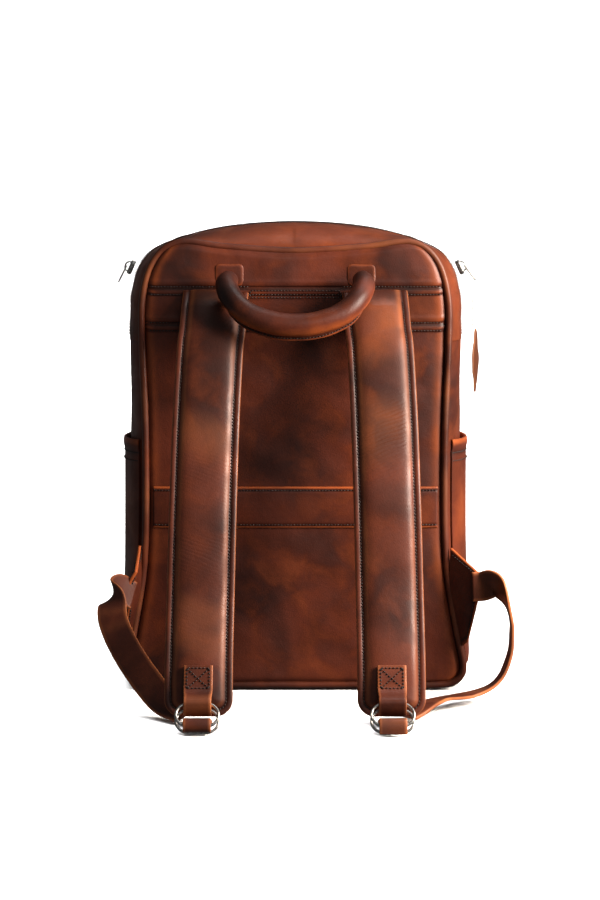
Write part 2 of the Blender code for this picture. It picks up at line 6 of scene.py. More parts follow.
import bmesh
import bpy
import numpy as np
from mathutils import Vector
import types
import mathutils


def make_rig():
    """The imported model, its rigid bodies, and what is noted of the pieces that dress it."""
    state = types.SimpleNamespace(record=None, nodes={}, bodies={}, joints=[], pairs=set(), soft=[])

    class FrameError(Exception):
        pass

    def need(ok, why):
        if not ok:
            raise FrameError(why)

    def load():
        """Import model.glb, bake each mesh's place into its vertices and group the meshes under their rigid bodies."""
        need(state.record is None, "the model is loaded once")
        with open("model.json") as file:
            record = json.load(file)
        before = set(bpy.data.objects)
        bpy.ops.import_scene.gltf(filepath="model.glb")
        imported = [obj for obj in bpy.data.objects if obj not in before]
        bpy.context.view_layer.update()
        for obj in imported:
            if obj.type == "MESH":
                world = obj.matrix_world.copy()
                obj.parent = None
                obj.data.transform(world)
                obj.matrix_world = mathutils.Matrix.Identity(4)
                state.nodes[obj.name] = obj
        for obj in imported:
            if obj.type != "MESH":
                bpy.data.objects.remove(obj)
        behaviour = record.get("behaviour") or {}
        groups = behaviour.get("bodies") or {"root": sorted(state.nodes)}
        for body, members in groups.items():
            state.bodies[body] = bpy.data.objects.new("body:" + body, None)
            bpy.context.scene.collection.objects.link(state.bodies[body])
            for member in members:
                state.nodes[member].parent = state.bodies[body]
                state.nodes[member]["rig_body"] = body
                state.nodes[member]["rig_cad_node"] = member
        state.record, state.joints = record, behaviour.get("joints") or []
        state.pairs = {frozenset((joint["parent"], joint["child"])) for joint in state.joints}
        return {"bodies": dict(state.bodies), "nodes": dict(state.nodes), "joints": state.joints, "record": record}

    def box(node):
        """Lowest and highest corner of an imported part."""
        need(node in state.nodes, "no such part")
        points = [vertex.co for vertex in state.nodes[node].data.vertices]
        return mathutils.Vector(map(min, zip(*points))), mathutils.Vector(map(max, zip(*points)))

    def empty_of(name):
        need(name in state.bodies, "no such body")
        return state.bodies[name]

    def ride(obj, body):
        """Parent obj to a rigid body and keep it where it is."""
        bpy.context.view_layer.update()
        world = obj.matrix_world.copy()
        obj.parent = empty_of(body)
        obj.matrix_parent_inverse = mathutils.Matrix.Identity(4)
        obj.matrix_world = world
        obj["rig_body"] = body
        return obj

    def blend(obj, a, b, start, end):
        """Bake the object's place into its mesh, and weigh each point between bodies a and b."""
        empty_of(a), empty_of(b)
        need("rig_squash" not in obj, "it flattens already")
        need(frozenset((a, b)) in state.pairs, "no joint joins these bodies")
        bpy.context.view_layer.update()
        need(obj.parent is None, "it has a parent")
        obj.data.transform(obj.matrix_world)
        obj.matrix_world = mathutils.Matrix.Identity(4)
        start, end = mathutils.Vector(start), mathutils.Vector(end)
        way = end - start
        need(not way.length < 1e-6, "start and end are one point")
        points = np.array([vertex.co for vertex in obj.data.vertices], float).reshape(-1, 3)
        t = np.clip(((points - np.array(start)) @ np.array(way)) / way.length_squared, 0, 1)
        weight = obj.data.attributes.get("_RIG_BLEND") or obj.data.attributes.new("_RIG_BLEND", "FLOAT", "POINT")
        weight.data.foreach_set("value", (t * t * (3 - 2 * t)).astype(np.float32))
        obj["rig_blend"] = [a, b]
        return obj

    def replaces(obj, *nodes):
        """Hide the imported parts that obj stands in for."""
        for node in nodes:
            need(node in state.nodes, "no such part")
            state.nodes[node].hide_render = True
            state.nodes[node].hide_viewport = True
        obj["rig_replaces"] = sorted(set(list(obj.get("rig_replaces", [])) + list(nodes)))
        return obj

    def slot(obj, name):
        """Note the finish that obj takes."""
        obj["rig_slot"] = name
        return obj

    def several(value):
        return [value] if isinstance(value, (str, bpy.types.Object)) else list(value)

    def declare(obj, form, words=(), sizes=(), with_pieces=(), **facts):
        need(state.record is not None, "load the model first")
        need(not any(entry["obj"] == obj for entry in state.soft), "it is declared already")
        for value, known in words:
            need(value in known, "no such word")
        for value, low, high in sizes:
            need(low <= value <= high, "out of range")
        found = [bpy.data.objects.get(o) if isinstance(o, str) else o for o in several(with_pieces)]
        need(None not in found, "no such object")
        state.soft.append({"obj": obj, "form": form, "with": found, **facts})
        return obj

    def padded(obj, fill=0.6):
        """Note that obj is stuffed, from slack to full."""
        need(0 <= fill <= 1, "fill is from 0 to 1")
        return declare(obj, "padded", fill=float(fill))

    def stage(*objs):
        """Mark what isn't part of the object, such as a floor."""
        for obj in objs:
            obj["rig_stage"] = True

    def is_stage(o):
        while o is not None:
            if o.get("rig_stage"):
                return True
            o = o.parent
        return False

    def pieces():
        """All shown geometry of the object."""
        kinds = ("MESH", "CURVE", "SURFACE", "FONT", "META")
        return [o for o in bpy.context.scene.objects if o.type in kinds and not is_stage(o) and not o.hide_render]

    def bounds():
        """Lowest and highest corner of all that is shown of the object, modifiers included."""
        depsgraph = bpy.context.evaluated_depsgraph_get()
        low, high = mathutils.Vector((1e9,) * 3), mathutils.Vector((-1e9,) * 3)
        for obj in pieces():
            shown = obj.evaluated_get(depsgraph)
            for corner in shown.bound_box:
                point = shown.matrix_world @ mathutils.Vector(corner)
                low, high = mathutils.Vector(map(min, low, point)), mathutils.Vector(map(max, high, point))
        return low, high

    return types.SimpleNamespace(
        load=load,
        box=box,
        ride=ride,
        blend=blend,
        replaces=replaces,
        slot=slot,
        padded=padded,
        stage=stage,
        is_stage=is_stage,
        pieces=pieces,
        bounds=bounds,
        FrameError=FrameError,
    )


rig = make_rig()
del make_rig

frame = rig.load()
CAD_BOX = [list(corner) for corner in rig.bounds()]

bl_info = {
    "name": "Leather Backpack",
    "version": (1, 0, 0),
    "blender": (4, 5, 0),
    "location": "View3D > Sidebar > Backpack",
    "description": "Builds the leather, stitching and hardware of a laptop backpack around its frame",
    "category": "Add Mesh",
}

# ------------------------------------------------------------------ sizes that come from the frame
BACK_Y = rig.box("back_panel")[0].y             # outer face of the back panel

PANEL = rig.box("back_panel")[1].y - BACK_Y
WALL_EDGE = -BACK_Y - PANEL - 0.0005           # depth at which the gusset starts
YOKE_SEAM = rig.box("back_yoke")[0].z - 0.0003
STRIP_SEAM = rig.box("back_strip")[0].z - 0.0003
BAND_LOW, BAND_HIGH = 0.1435, 0.180
POCKET_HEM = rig.box("side_pocket_left")[1].z
WALL = 0.0024                                  # leather thickness of gusset and pockets
WELT = 0.003                                   # radius of the piping

# The outline's right half, bottom middle to top middle, as (x, z): at the panels' edge, and at the
# crest of the gusset half way through the depth.
PANEL_EDGE = [(0.0, 0.008), (0.070, 0.008), (0.122, 0.008), (0.138, 0.011), (0.1435, 0.022),
              (0.137, 0.055), (0.1275, 0.120), (0.126, 0.220), (0.1285, 0.305), (0.1275, 0.345),
              (0.118, 0.374), (0.098, 0.3875), (0.060, 0.3835), (0.0, 0.380)]
CREST = [(0.0, 0.0), (0.070, 0.0), (0.125, 0.0), (0.146, 0.004), (0.152, 0.022),
         (0.150, 0.055), (0.147, 0.120), (0.146, 0.220), (0.1465, 0.305), (0.1442, 0.350),
         (0.131, 0.378), (0.102, 0.3925), (0.058, 0.4030), (0.0, 0.407)]
BASE_END, ZIP_END, TOP = 4, 8, 13
ZIP_HALF = 0.0075

STRAP_ROUTE = [(0.0680, -0.0672, 0.3485), (0.0690, -0.081, 0.334), (0.0702, -0.0935, 0.317),
               (0.0720, -0.1035, 0.300), (0.0745, -0.128, 0.245), (0.0765, -0.151, 0.175),
               (0.078, -0.168, 0.105), (0.079, -0.1865, 0.050), (0.079, -0.198, 0.008)]
TAB_ROUTE = [(-0.1955, 0.0500), (-0.2020, 0.0370), (-0.2085, 0.0305), (-0.2187, 0.0265),
             (-0.2199, 0.0218), (-0.2177, 0.0158), (-0.2140, 0.0132), (-0.2105, 0.0148)]
RING_X, RING_LONG, RING_SHORT, RING_TILT = 0.079, 0.0345, 0.0195, math.radians(52)
RINGS = {"upper": (-0.2225, 0.0152), "lower": (-0.2195, 0.0092)}
HANDLE_ROUTE = [(0.0565, -0.079, 0.360), (0.0580, -0.090, 0.3545), (0.0530, -0.1035, 0.3445),
                (0.0400, -0.1120, 0.3330), (0.0200, -0.1165, 0.3255), (0.0, -0.1180, 0.3235)]
HANDLE_RADIUS = 0.0095
SLIDER_LEAN = math.radians(24)
PULL_HANG = {"left": math.radians(27), "right": math.radians(38)}
TAG_TURN = math.radians(12)
SIDES = (("left", -1), ("right", 1))


# ------------------------------------------------------------------ numbers and surfaces
def spline(points, ranks, mirror=False):
    """Read a Catmull-Rom curve through the points at fractional ranks (0 is the first point).

    Each span is the cubic whose slope at both ends is half the step between its neighbours. With
    mirror, the curve goes on as its own reflection in x = 0, so it crosses that plane level.
    """
    pts = np.array(points, float)
    if mirror:
        flip = np.array([-1.0] + [1.0] * (pts.shape[1] - 1))
        pad = np.vstack([pts[1] * flip, pts, pts[-2] * flip])
    else:
        pad = np.vstack([2 * pts[0] - pts[1], pts, 2 * pts[-1] - pts[-2]])
    ranks = np.asarray(ranks, float)
    low = np.clip(np.floor(ranks).astype(int), 0, len(pts) - 2)
    t = (ranks - low)[..., None]
    a, b, c, d = pad[low], pad[low + 1], pad[low + 2], pad[low + 3]
    return 0.5 * (2 * b + (c - a) * t + (2 * a - 5 * b + 4 * c - d) * t ** 2
                  + (3 * b - a - 3 * c + d) * t ** 3)


def even(points, count, power=16, mirror=False):
    """Points at equal steps of length along the smooth curve through the given points."""
    fine = spline(points, np.linspace(0, len(points) - 1, (len(points) - 1) * power + 1), mirror)
    run = np.concatenate([[0], np.cumsum(np.linalg.norm(np.diff(fine, axis=0), axis=1))])
    want = np.linspace(0, run[-1], count)
    return np.stack([np.interp(want, run, fine[:, k]) for k in range(fine.shape[1])], -1)


def unit(vectors):
    """Vectors at length 1."""
    return vectors / np.maximum(np.linalg.norm(vectors, axis=-1, keepdims=True), 1e-12)


def soft(x, seed, size):
    """A smooth random-looking field between -1 and 1: five sine waves crossed at fixed angles.

    x is an array of points, size the length of its longest wave, seed picks the phases.
    """
    rng = np.random.default_rng(seed)
    total = 0
    for k in range(5):
        way = unit(rng.normal(size=x.shape[-1]))
        total = total + np.sin(x @ way * 2 * math.pi / size * (1 + 0.6 * k) + rng.uniform(0, 6.28)) / (1 + k)
    return total / 2.3


def dip(distance, width):
    """A bell of height 1 and the given half width, for grooves and beads."""
    return np.exp(-(distance / width) ** 2)


def quads(rows, columns, wrap_rows=False, wrap_columns=False):
    """Indices of the four corners of each cell of a grid, with or without its closing cells."""
    r = np.arange(rows if wrap_rows else rows - 1)
    c = np.arange(columns if wrap_columns else columns - 1)
    r, c = np.meshgrid(r, c, indexing="ij")
    r2, c2 = (r + 1) % rows, (c + 1) % columns
    return np.stack([r * columns + c, r * columns + c2, r2 * columns + c2, r2 * columns + c],
                    -1).reshape(-1, 4)


def capped(rings, around):
    """Faces of a stack of rings with one many-sided face at either end."""
    faces = [list(q) for q in quads(rings, around, wrap_columns=True)]
    return faces + [list(range(around)), list(range((rings - 1) * around, rings * around))]


def tipped(rings, around):
    """Faces of a stack of rings closed by triangles to two tip points, which follow the rings' points."""
    faces = [list(q) for q in quads(rings, around, wrap_columns=True)]
    first_tip, last_ring = rings * around, (rings - 1) * around
    faces += [[first_tip, (j + 1) % around, j] for j in range(around)]
    return faces + [[first_tip + 1, last_ring + j, last_ring + (j + 1) % around] for j in range(around)]


def build(name, points, faces, finish, wear=None, flip=False, smooth=True):
    """Put arrays of points and quads (or a list of face lists) in a new object with a finish."""
    mesh = bpy.data.meshes.new(name)
    points = np.ascontiguousarray(points, np.float32).reshape(-1, 3)
    if isinstance(faces, np.ndarray):
        faces = faces[:, ::-1] if flip else faces
        sides = faces.shape[1]
        mesh.vertices.add(len(points))
        mesh.vertices.foreach_set("co", points.ravel())
        mesh.loops.add(faces.size)
        mesh.loops.foreach_set("vertex_index", np.ascontiguousarray(faces, np.int32).ravel())
        mesh.polygons.add(len(faces))
        mesh.polygons.foreach_set("loop_start", np.arange(0, faces.size, sides, dtype=np.int32))
        mesh.update(calc_edges=True)
    else:
        mesh.from_pydata(points.tolist(), [], [list(f)[::-1] if flip else list(f) for f in faces])
    if wear is not None:
        layer = mesh.attributes.new("wear", "FLOAT", "POINT")
        layer.data.foreach_set("value", np.broadcast_to(wear, (len(points),)).astype(np.float32).ravel())
    if smooth:
        mesh.shade_smooth()
    mesh.materials.append(finish)
    obj = bpy.data.objects.new(name, mesh)
    bpy.context.scene.collection.objects.link(obj)
    return obj


def placed(obj, body, slot, *solids):
    """Fix a piece to its body, name the solids that it stands for, and give it its finish's slot."""
    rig.ride(obj, body)
    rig.replaces(obj, *solids)
    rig.slot(obj, slot)


def shell(name, grid, thickness, finish, wear=None, offset=-1.0):
    """A wall: the grid is its outer face, away from the bag's middle, and Solidify gives it its thickness."""
    normal = np.cross(grid[1:, :-1] - grid[:-1, :-1], grid[:-1, 1:] - grid[:-1, :-1])
    inwards = np.sum(normal * (grid[:-1, :-1] - (0, 0, 0.2))) > 0
    obj = build(name, grid, quads(*grid.shape[:2]), finish, None if wear is None else wear.ravel(),
                bool(inwards))
    wall = obj.modifiers.new("thickness", "SOLIDIFY")
    wall.thickness, wall.offset, wall.use_rim = thickness, offset, True
    return obj


def frames(centre, across):
    """Unit vectors along, across and out of a path, made square to each other at each point."""
    along = unit(np.gradient(centre, axis=0))
    across = unit(across - along * np.sum(across * along, -1, keepdims=True))
    return along, across, np.cross(along, across)


def sweep(name, centre, across, profile, finish, wear=None, wide=None):
    """Carry a closed profile of (across, out) points along a path, and close both ends with a fan.

    wide scales the profile's width at each point of the path. wear is given for each point of the
    profile, or for each point of the whole grid.
    """
    _, side, out = frames(centre, across)
    n, m = len(centre), len(profile)
    wide = np.ones(n) if wide is None else np.broadcast_to(wide, n)

    u = profile[None, :, 0] * wide[:, None]
    v = np.repeat(profile[None, :, 1], n, 0)
    grid = centre[:, None] + side[:, None] * u[..., None] + out[:, None] * v[..., None]
    points = np.vstack([grid.reshape(-1, 3), grid[0].mean(0), grid[-1].mean(0)])
    if wear is not None:
        wear = np.broadcast_to(wear, (n, m)).ravel()
        wear = np.concatenate([wear, wear[:1], wear[-1:]])
    return build(name, points, tipped(n, m), finish, wear)


def rounded_bar(width, thickness, corner=0.0008, per_side=9):
    """Profile of a flat strap: a rectangle with rounded edges, going round from its lower left."""
    w, h = width / 2 - corner, thickness / 2 - corner
    arc = np.linspace(0, math.pi / 2, 4)
    parts = []
    for k, (cx, cy) in enumerate(((w, h), (-w, h), (-w, -h), (w, -h))):
        turn = arc + k * math.pi / 2
        parts.append(np.stack([cx + corner * np.cos(turn), cy + corner * np.sin(turn)], -1))
        ahead = [(-w, h + corner), None, (w, -h - corner), None][k]
        if ahead is not None:
            parts.append(np.linspace(parts[-1][-1], ahead, per_side + 2)[1:-1])
    return np.vstack(parts)


def edge_wear(profile, width, bright=1.0):
    """Wear along a strap's profile: bright at its two edges, none across its flats."""
    near = (width / 2 - np.abs(profile[:, 0])) / 0.0016
    return bright * np.clip(1 - near, 0, 1)


def stitches(name, rows, body, sizes, finish, proud=0.0005):
    """Rows of thread. Each row is (points, normals); a stitch is a short spindle laid on the leather.

    A spindle is five six-sided rings along the seam whose radius swells and falls, so a stitch is
    24 quads. Its ends go into the leather, and a small space is left to the next one.
    """
    all_points, all_faces, base = [], [], 0
    ring = np.linspace(0, 2 * math.pi, 6, endpoint=False)
    along_t = np.array([-1, -0.72, 0, 0.72, 1.0])
    swell = np.array([0.25, 0.85, 1, 0.85, 0.25])
    sink = np.array([-0.9, -0.1, 0.35, -0.1, -0.9])
    cell = quads(5, 6, wrap_columns=True)
    for path, normal in rows:
        path, normal = np.asarray(path, float), np.asarray(normal, float)
        run = np.concatenate([[0], np.cumsum(np.linalg.norm(np.diff(path, axis=0), axis=1))])
        count = max(int(run[-1] / sizes.stitch_pitch), 1)
        middle = (np.arange(count) + 0.5) * run[-1] / count
        half = 0.39 * sizes.stitch_pitch

        def at(where, table):
            return np.stack([np.interp(where, run, table[:, k]) for k in range(3)], -1)
        p = at(middle, path)
        t = unit(at(middle + half, path) - at(middle - half, path))
        n = unit(at(middle, np.broadcast_to(normal, path.shape)))
        s = np.cross(n, t)
        r = sizes.thread / 2
        spine = p[:, None] + t[:, None] * (along_t * half)[None, :, None] \
            + n[:, None] * (sink * r + proud)[None, :, None]
        tube = (s[:, None, None] * np.cos(ring)[None, None, :, None]
                + n[:, None, None] * np.sin(ring)[None, None, :, None]) * (swell * r)[None, :, None, None]
        points = (spine[:, :, None] + tube).reshape(-1, 3)
        faces = (cell[None] + (np.arange(count) * 30)[:, None, None]).reshape(-1, 4) + base
        base += len(points)
        all_points.append(points)
        all_faces.append(faces)
    obj = build(name, np.vstack(all_points), np.vstack(all_faces), finish)
    if body:
        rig.ride(obj, body)
    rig.slot(obj, "leather")
    return obj


def bulge(ranks, y):
    """How far a wall has gone from the panel's edge (0) to the crest (1), by rank and depth.

    The sides and top are a flattened arch. The base is flat but for its two long edges.
    """
    across = np.clip(np.abs(y) / WALL_EDGE, 0, 1)
    arch = (1 - across ** 2.3) ** (1 / 1.6)
    flat = np.cos(np.clip((across - 0.78) / 0.22, 0, 1) * math.pi / 2)
    return arch + (flat - arch) * np.clip((BASE_END - ranks) / 1.6, 0, 1)


def wall_grid(sign, ranks, depths, proud=0.0):
    """Points of the bag's outer wall for one half, rows by rank along the outline, columns by depth."""
    r, y = np.meshgrid(ranks, depths, indexing="ij") if np.ndim(depths) == 1 else (ranks, depths)
    k = bulge(r, y)[..., None]
    place = spline(PANEL_EDGE, r, True) * (1 - k) + spline(CREST, r, True) * k
    way = (spline(PANEL_EDGE, np.clip(r + 0.02, 0, TOP), True)
           - spline(PANEL_EDGE, np.clip(r - 0.02, 0, TOP), True)) * (1 - k) \
        + (spline(CREST, np.clip(r + 0.02, 0, TOP), True)
           - spline(CREST, np.clip(r - 0.02, 0, TOP), True)) * k
    out = unit(np.stack([way[..., 1], -way[..., 0]], -1))
    place = place + out * (WELT * (1 - k) + np.broadcast_to(proud, r.shape)[..., None])
    place[..., 1] = np.maximum(place[..., 1], 0.0)
    return np.stack([sign * place[..., 0], y, place[..., 1]], -1)


def arch_grid(depths, first, count, proud=0.0):
    """The wall from the left side, over the top, to the right side, in rows."""
    ranks = np.linspace(first, TOP, count)
    left, right = wall_grid(-1, ranks, depths, proud), wall_grid(1, ranks, depths, proud)
    return np.concatenate([left[:-1], right[::-1]])


def half_width(z):
    """Half the width of the panel at a height, read from its outline below the top corner."""
    fine = spline(PANEL_EDGE, np.linspace(2, 11, 400), True)
    return np.interp(z, fine[:, 1], fine[:, 0])


# ------------------------------------------------------------------ materials
def srgb(value):
    """A hex sRGB colour as a linear RGBA tuple."""
    parts = [int(value[k:k + 2], 16) / 255 for k in (0, 2, 4)]
    return tuple(c / 12.92 if c <= 0.04045 else ((c + 0.055) / 1.055) ** 2.4 for c in parts) + (1.0,)


def node(tree, kind, settings=None, **links):
    """Add a node. settings set its properties and unlinked inputs; links join other outputs to its inputs."""
    made = tree.nodes.new(kind)
    for key, value in (settings or {}).items():
        if isinstance(key, int) or key in made.inputs:
            made.inputs[key].default_value = value
        else:
            setattr(made, key, value)
    for key, source in links.items():
        slot = int(key[1:]) if key[0] == "i" and key[1:].isdigit() else key.replace("_", " ")
        tree.links.new(source, made.inputs[slot])
    return made


def ramp(tree, source, stops, smooth=True):
    """A colour ramp over (position, colour or grey) stops."""
    made = node(tree, "ShaderNodeValToRGB", Fac=source)
    made.color_ramp.interpolation = "EASE" if smooth else "LINEAR"
    while len(made.color_ramp.elements) < len(stops):
        made.color_ramp.elements.new(0.5)
    for element, (position, colour) in zip(made.color_ramp.elements, stops):
        element.position = position
        element.color = srgb(colour) if isinstance(colour, str) else (colour, colour, colour, 1)
    return made.outputs["Color"]


def noise(tree, place, per_metre, detail=4.0, rough=0.55, distortion=0.0, stretch=None):
    """Noise whose cells measure 1 / per_metre metres, stretched along an axis if asked."""
    if stretch:
        place = node(tree, "ShaderNodeMapping", {"Scale": stretch}, Vector=place).outputs[0]
    return node(tree, "ShaderNodeTexNoise", {"Scale": per_metre, "Detail": detail, "Roughness": rough,
                                            "Distortion": distortion}, Vector=place).outputs["Fac"]


def mix(tree, factor, a, b, how="MIX"):
    """Mix two colours by a socket or a number."""
    made = node(tree, "ShaderNodeMix", {"data_type": "RGBA", "blend_type": how})
    for index, value in ((0, factor), (6, a), (7, b)):
        if isinstance(value, bpy.types.NodeSocket):
            tree.links.new(value, made.inputs[index])
        else:
            made.inputs[index].default_value = srgb(value) if isinstance(value, str) else value
    return made.outputs[2]


def maths(tree, how, a, b=0.0, clamp=False):
    """One sum on sockets or numbers."""
    made = node(tree, "ShaderNodeMath", {"operation": how, "use_clamp": clamp})
    for index, value in enumerate((a, b)):
        if isinstance(value, bpy.types.NodeSocket):
            tree.links.new(value, made.inputs[index])
        else:
            made.inputs[index].default_value = value
    return made.outputs[0]


def start(name):
    """A new material with its tree, shader and object coordinates."""
    made = bpy.data.materials.new(name)
    made.use_nodes = True
    tree = made.node_tree
    return made, tree, tree.nodes["Principled BSDF"], node(tree, "ShaderNodeTexCoord").outputs["Object"]


def bumps(tree, shader, *layers):
    """Stack bump nodes from (height, strength, depth in metres), coarsest first."""
    below = None
    for height, strength, depth in layers:
        made = node(tree, "ShaderNodeBump", {"Strength": strength, "Distance": depth}, Height=height)
        if below:
            tree.links.new(below, made.inputs["Normal"])
        below = made.outputs["Normal"]
    tree.links.new(below, shader.inputs["Normal"])


def pull_up_leather(name, dark, mid, light, rim, gloss=0.42, dirt=0.5, grain=1.0):
    """Waxed pull-up leather, vegetable tanned and hand rubbed.

    The wax leaves clouds of dark and warm brown a few centimetres wide, which the hides are known
    for. Where it was bent or rubbed the wax moves and the colour turns to orange, where a per-point
    attribute is above 0; on folds and proud edges that orange is also a painted highlight. Where the
    attribute is below 0 the colour turns near black: painted shade in seams, grooves and under edges,
    and some darker patches. Pores 0.45 mm apart, drawn at 0.9 mm to show, and creases give a broken sheen.
    """
    made, tree, shader, place = start(name)
    wear = node(tree, "ShaderNodeAttribute", {"attribute_name": "wear"}).outputs["Fac"]
    clouds = noise(tree, place, 13, 3, 0.45, 0.4)             # clouds 75 mm wide
    patches = noise(tree, place, 38, 3, 0.50, 0.5)            # blots 26 mm wide
    flecks = noise(tree, place, 420, 3, 0.7)                  # flecks 2.4 mm wide
    colour = mix(tree, ramp(tree, clouds, [(0.28, 0.0), (0.66, 1.0)]), dark, mid)
    colour = mix(tree, maths(tree, "MULTIPLY", ramp(tree, patches, [(0.42, 0.0), (0.80, 1.0)]), 0.42),
                 colour, light)
    colour = mix(tree, maths(tree, "MULTIPLY", ramp(tree, flecks, [(0.35, 1.0), (0.60, 0.0)]), 0.22 * dirt),
                 colour, "1c0d09")
    smudge = maths(tree, "MULTIPLY", ramp(tree, noise(tree, place, 15, 4, 0.5, 0.8),
                                          [(0.50, 0.0), (0.76, 1.0)]), dirt)
    colour = mix(tree, smudge, colour, "2a120c")
    # Orange (the rim colour) where the attribute is above 0: rubbed wax, and on folds and proud edges a painted
    # highlight.
    worn = maths(tree, "MULTIPLY", maths(tree, "MAXIMUM", wear, 0.0),
                 ramp(tree, patches, [(0.25, 0.55), (0.60, 1.0)]), True)
    colour = mix(tree, worn, colour, rim)
    # Near black (160a07) where the attribute is below 0: painted shade in seams, grooves and under edges, and some
    # darker patches.
    dull = maths(tree, "MULTIPLY", maths(tree, "MULTIPLY", wear, -1.0), 1.0, True)
    colour = mix(tree, dull, colour, "160a07")
    tree.links.new(colour, shader.inputs["Base Color"])
    sheen = ramp(tree, patches, [(0.30, gloss + 0.14), (0.70, gloss - 0.06)])
    tree.links.new(sheen, shader.inputs["Roughness"])
    pores = node(tree, "ShaderNodeTexVoronoi", {"feature": "SMOOTH_F1", "Scale": 1100, "Smoothness": 0.5},
                 Vector=place).outputs["Distance"]
    folds = noise(tree, place, 130, 3, 0.5, 0.6)
    bumps(tree, shader, (folds, 0.22 * grain, 0.0009), (pores, 0.45 * grain, 0.00018))
    shader.inputs["IOR"].default_value = 1.5
    shader.inputs["Specular IOR Level"].default_value = 0.28
    shader.inputs["Coat Weight"].default_value = 0.07
    shader.inputs["Coat Roughness"].default_value = 0.32
    return made


def waxed_thread():
    """Waxed polyester thread, twisted from three plies 0.3 mm thick: dark, with a soft shine on each ply."""
    made, tree, shader, place = start("waxed_thread")
    ply = noise(tree, place, 2200, 2)
    tree.links.new(mix(tree, ply, "0e0705", "2b150e"), shader.inputs["Base Color"])
    tree.links.new(ramp(tree, ply, [(0.3, 0.55), (0.7, 0.4)]), shader.inputs["Roughness"])
    bumps(tree, shader, (ply, 0.4, 0.0001))
    return made


def nickel(name, tone, rough, bright="c6c3bd"):
    """Nickel-plated zinc, tumbled: bright, faintly warm, with fine handling marks that spread the shine."""
    made, tree, shader, place = start(name)
    marks = noise(tree, place, 700, 6, 0.7, 0.5, (1, 1, 4))
    cloud = noise(tree, place, 160, 3)
    tree.links.new(mix(tree, cloud, tone, bright), shader.inputs["Base Color"])
    tree.links.new(ramp(tree, marks, [(0.3, rough), (0.7, rough + 0.14)]), shader.inputs["Roughness"])
    shader.inputs["Metallic"].default_value = 1.0
    bumps(tree, shader, (marks, 0.12, 0.00005))
    return made


def woven(name, dark, light, pitch, rough=0.85):
    """Plain-woven polyester: threads a pitch apart, over and under, with a dry matt surface."""
    made, tree, shader, place = start(name)
    spun = [node(tree, "ShaderNodeTexWave", {"bands_direction": way, "Scale": 1 / pitch / 3.2,
                                             "Distortion": 0.4,
                                           "Detail": 1.0}, Vector=place).outputs["Fac"] for way in ("X", "Z")]
    cross = maths(tree, "MAXIMUM", spun[0], spun[1])
    mottle = noise(tree, place, 60, 4)
    tree.links.new(mix(tree, maths(tree, "MULTIPLY", cross, mottle), dark, light),
                   shader.inputs["Base Color"])
    tree.links.new(ramp(tree, mottle, [(0.3, rough - 0.05), (0.7, rough + 0.05)]), shader.inputs["Roughness"])
    bumps(tree, shader, (cross, 0.6, pitch / 3))
    return made


def grained(name, dark, light, rough, per_metre):
    """Foam or fibreboard: a dry open texture with small pits that take the light unevenly."""
    made, tree, shader, place = start(name)
    pits = noise(tree, place, per_metre, 6, 0.7)
    tree.links.new(mix(tree, pits, dark, light), shader.inputs["Base Color"])
    tree.links.new(ramp(tree, pits, [(0.3, rough), (0.7, min(rough + 0.1, 1))]), shader.inputs["Roughness"])
    bumps(tree, shader, (pits, 0.5, 0.0006))
    return made


MATERIALS = {}


def finish_of(name):
    """The shared material of that name, which the first operator made."""
    if name not in MATERIALS:
        raise RuntimeError(f"no finish is named {name}: run the finishes first")
    return MATERIALS[name]


class FinishSizes(bpy.types.PropertyGroup):
    """Colours of the hide."""
    hide_dark: bpy.props.StringProperty(name="Dark hide", description="Colour of the dark clouds, sRGB hex",
                                        default="2c110b")
    hide_mid: bpy.props.StringProperty(name="Hide", description="Main colour of the hide, sRGB hex",
                                       default="632b19")
    hide_light: bpy.props.StringProperty(name="Light hide",
                                         description="Colour of the light blots, sRGB hex",
                                         default="8a4527")
    # The rubbed orange, also used as the painted highlight on folds and proud edges.
    rubbed: bpy.props.StringProperty(name="Rubbed edge",
                                     description="Colour where the wax has moved, sRGB hex",
                                     default="c0612f")


class BACKPACK_OT_finishes(bpy.types.Operator):
    """Makes the materials that the pieces share"""
    bl_idname = "backpack.finishes"
    bl_label = "Finishes"

    def execute(self, context):
        s = context.scene.backpack_finish
        # The fourth colour of each hide is its rubbed orange; on folds and proud edges it is also a painted highlight.
        MATERIALS["leather"] = pull_up_leather("pull_up_leather", s.hide_dark, s.hide_mid, s.hide_light,
                                               s.rubbed)
        MATERIALS["base"] = pull_up_leather("burnished_leather", "2a110b", "54261a", "77371f", "a85529",
                                            0.36, 0.5)
        MATERIALS["strap"] = pull_up_leather("strap_leather", "34170f", "612e1e", "824229", "c47446", 0.38,
                                             0.5, 0.8)
        MATERIALS["tag"] = pull_up_leather("tag_leather", "43200f", "5f311b", "7c4b2d", "8c5c3b", 0.45, 0.15)

        MATERIALS["thread"] = waxed_thread()
        MATERIALS["nickel"] = nickel("nickel_plated_zinc", "a9a7a3", 0.20)
        MATERIALS["teeth"] = nickel("antique_nickel_teeth", "5e5a55", 0.36, "8f8a83")
        MATERIALS["tape"] = woven("woven_zip_tape", "120d0b", "2c221d", 0.0007)
        MATERIALS["lining"] = woven("cotton_twill_lining", "4a3b2d", "7a654c", 0.0006)
        MATERIALS["foam"] = grained("closed_cell_foam", "2b2a29", "4a4846", 0.85, 900)
        MATERIALS["board"] = grained("pressed_fibreboard", "4c3a2a", "7b6148", 0.8, 500)

        return {"FINISHED"}


# ------------------------------------------------------------------ sizes a user would change
def length(label, text, value):
    """A property in metres."""
    return bpy.props.FloatProperty(name=label, description=text, default=value, min=0.0, unit="LENGTH",
                                   subtype="DISTANCE", precision=5)


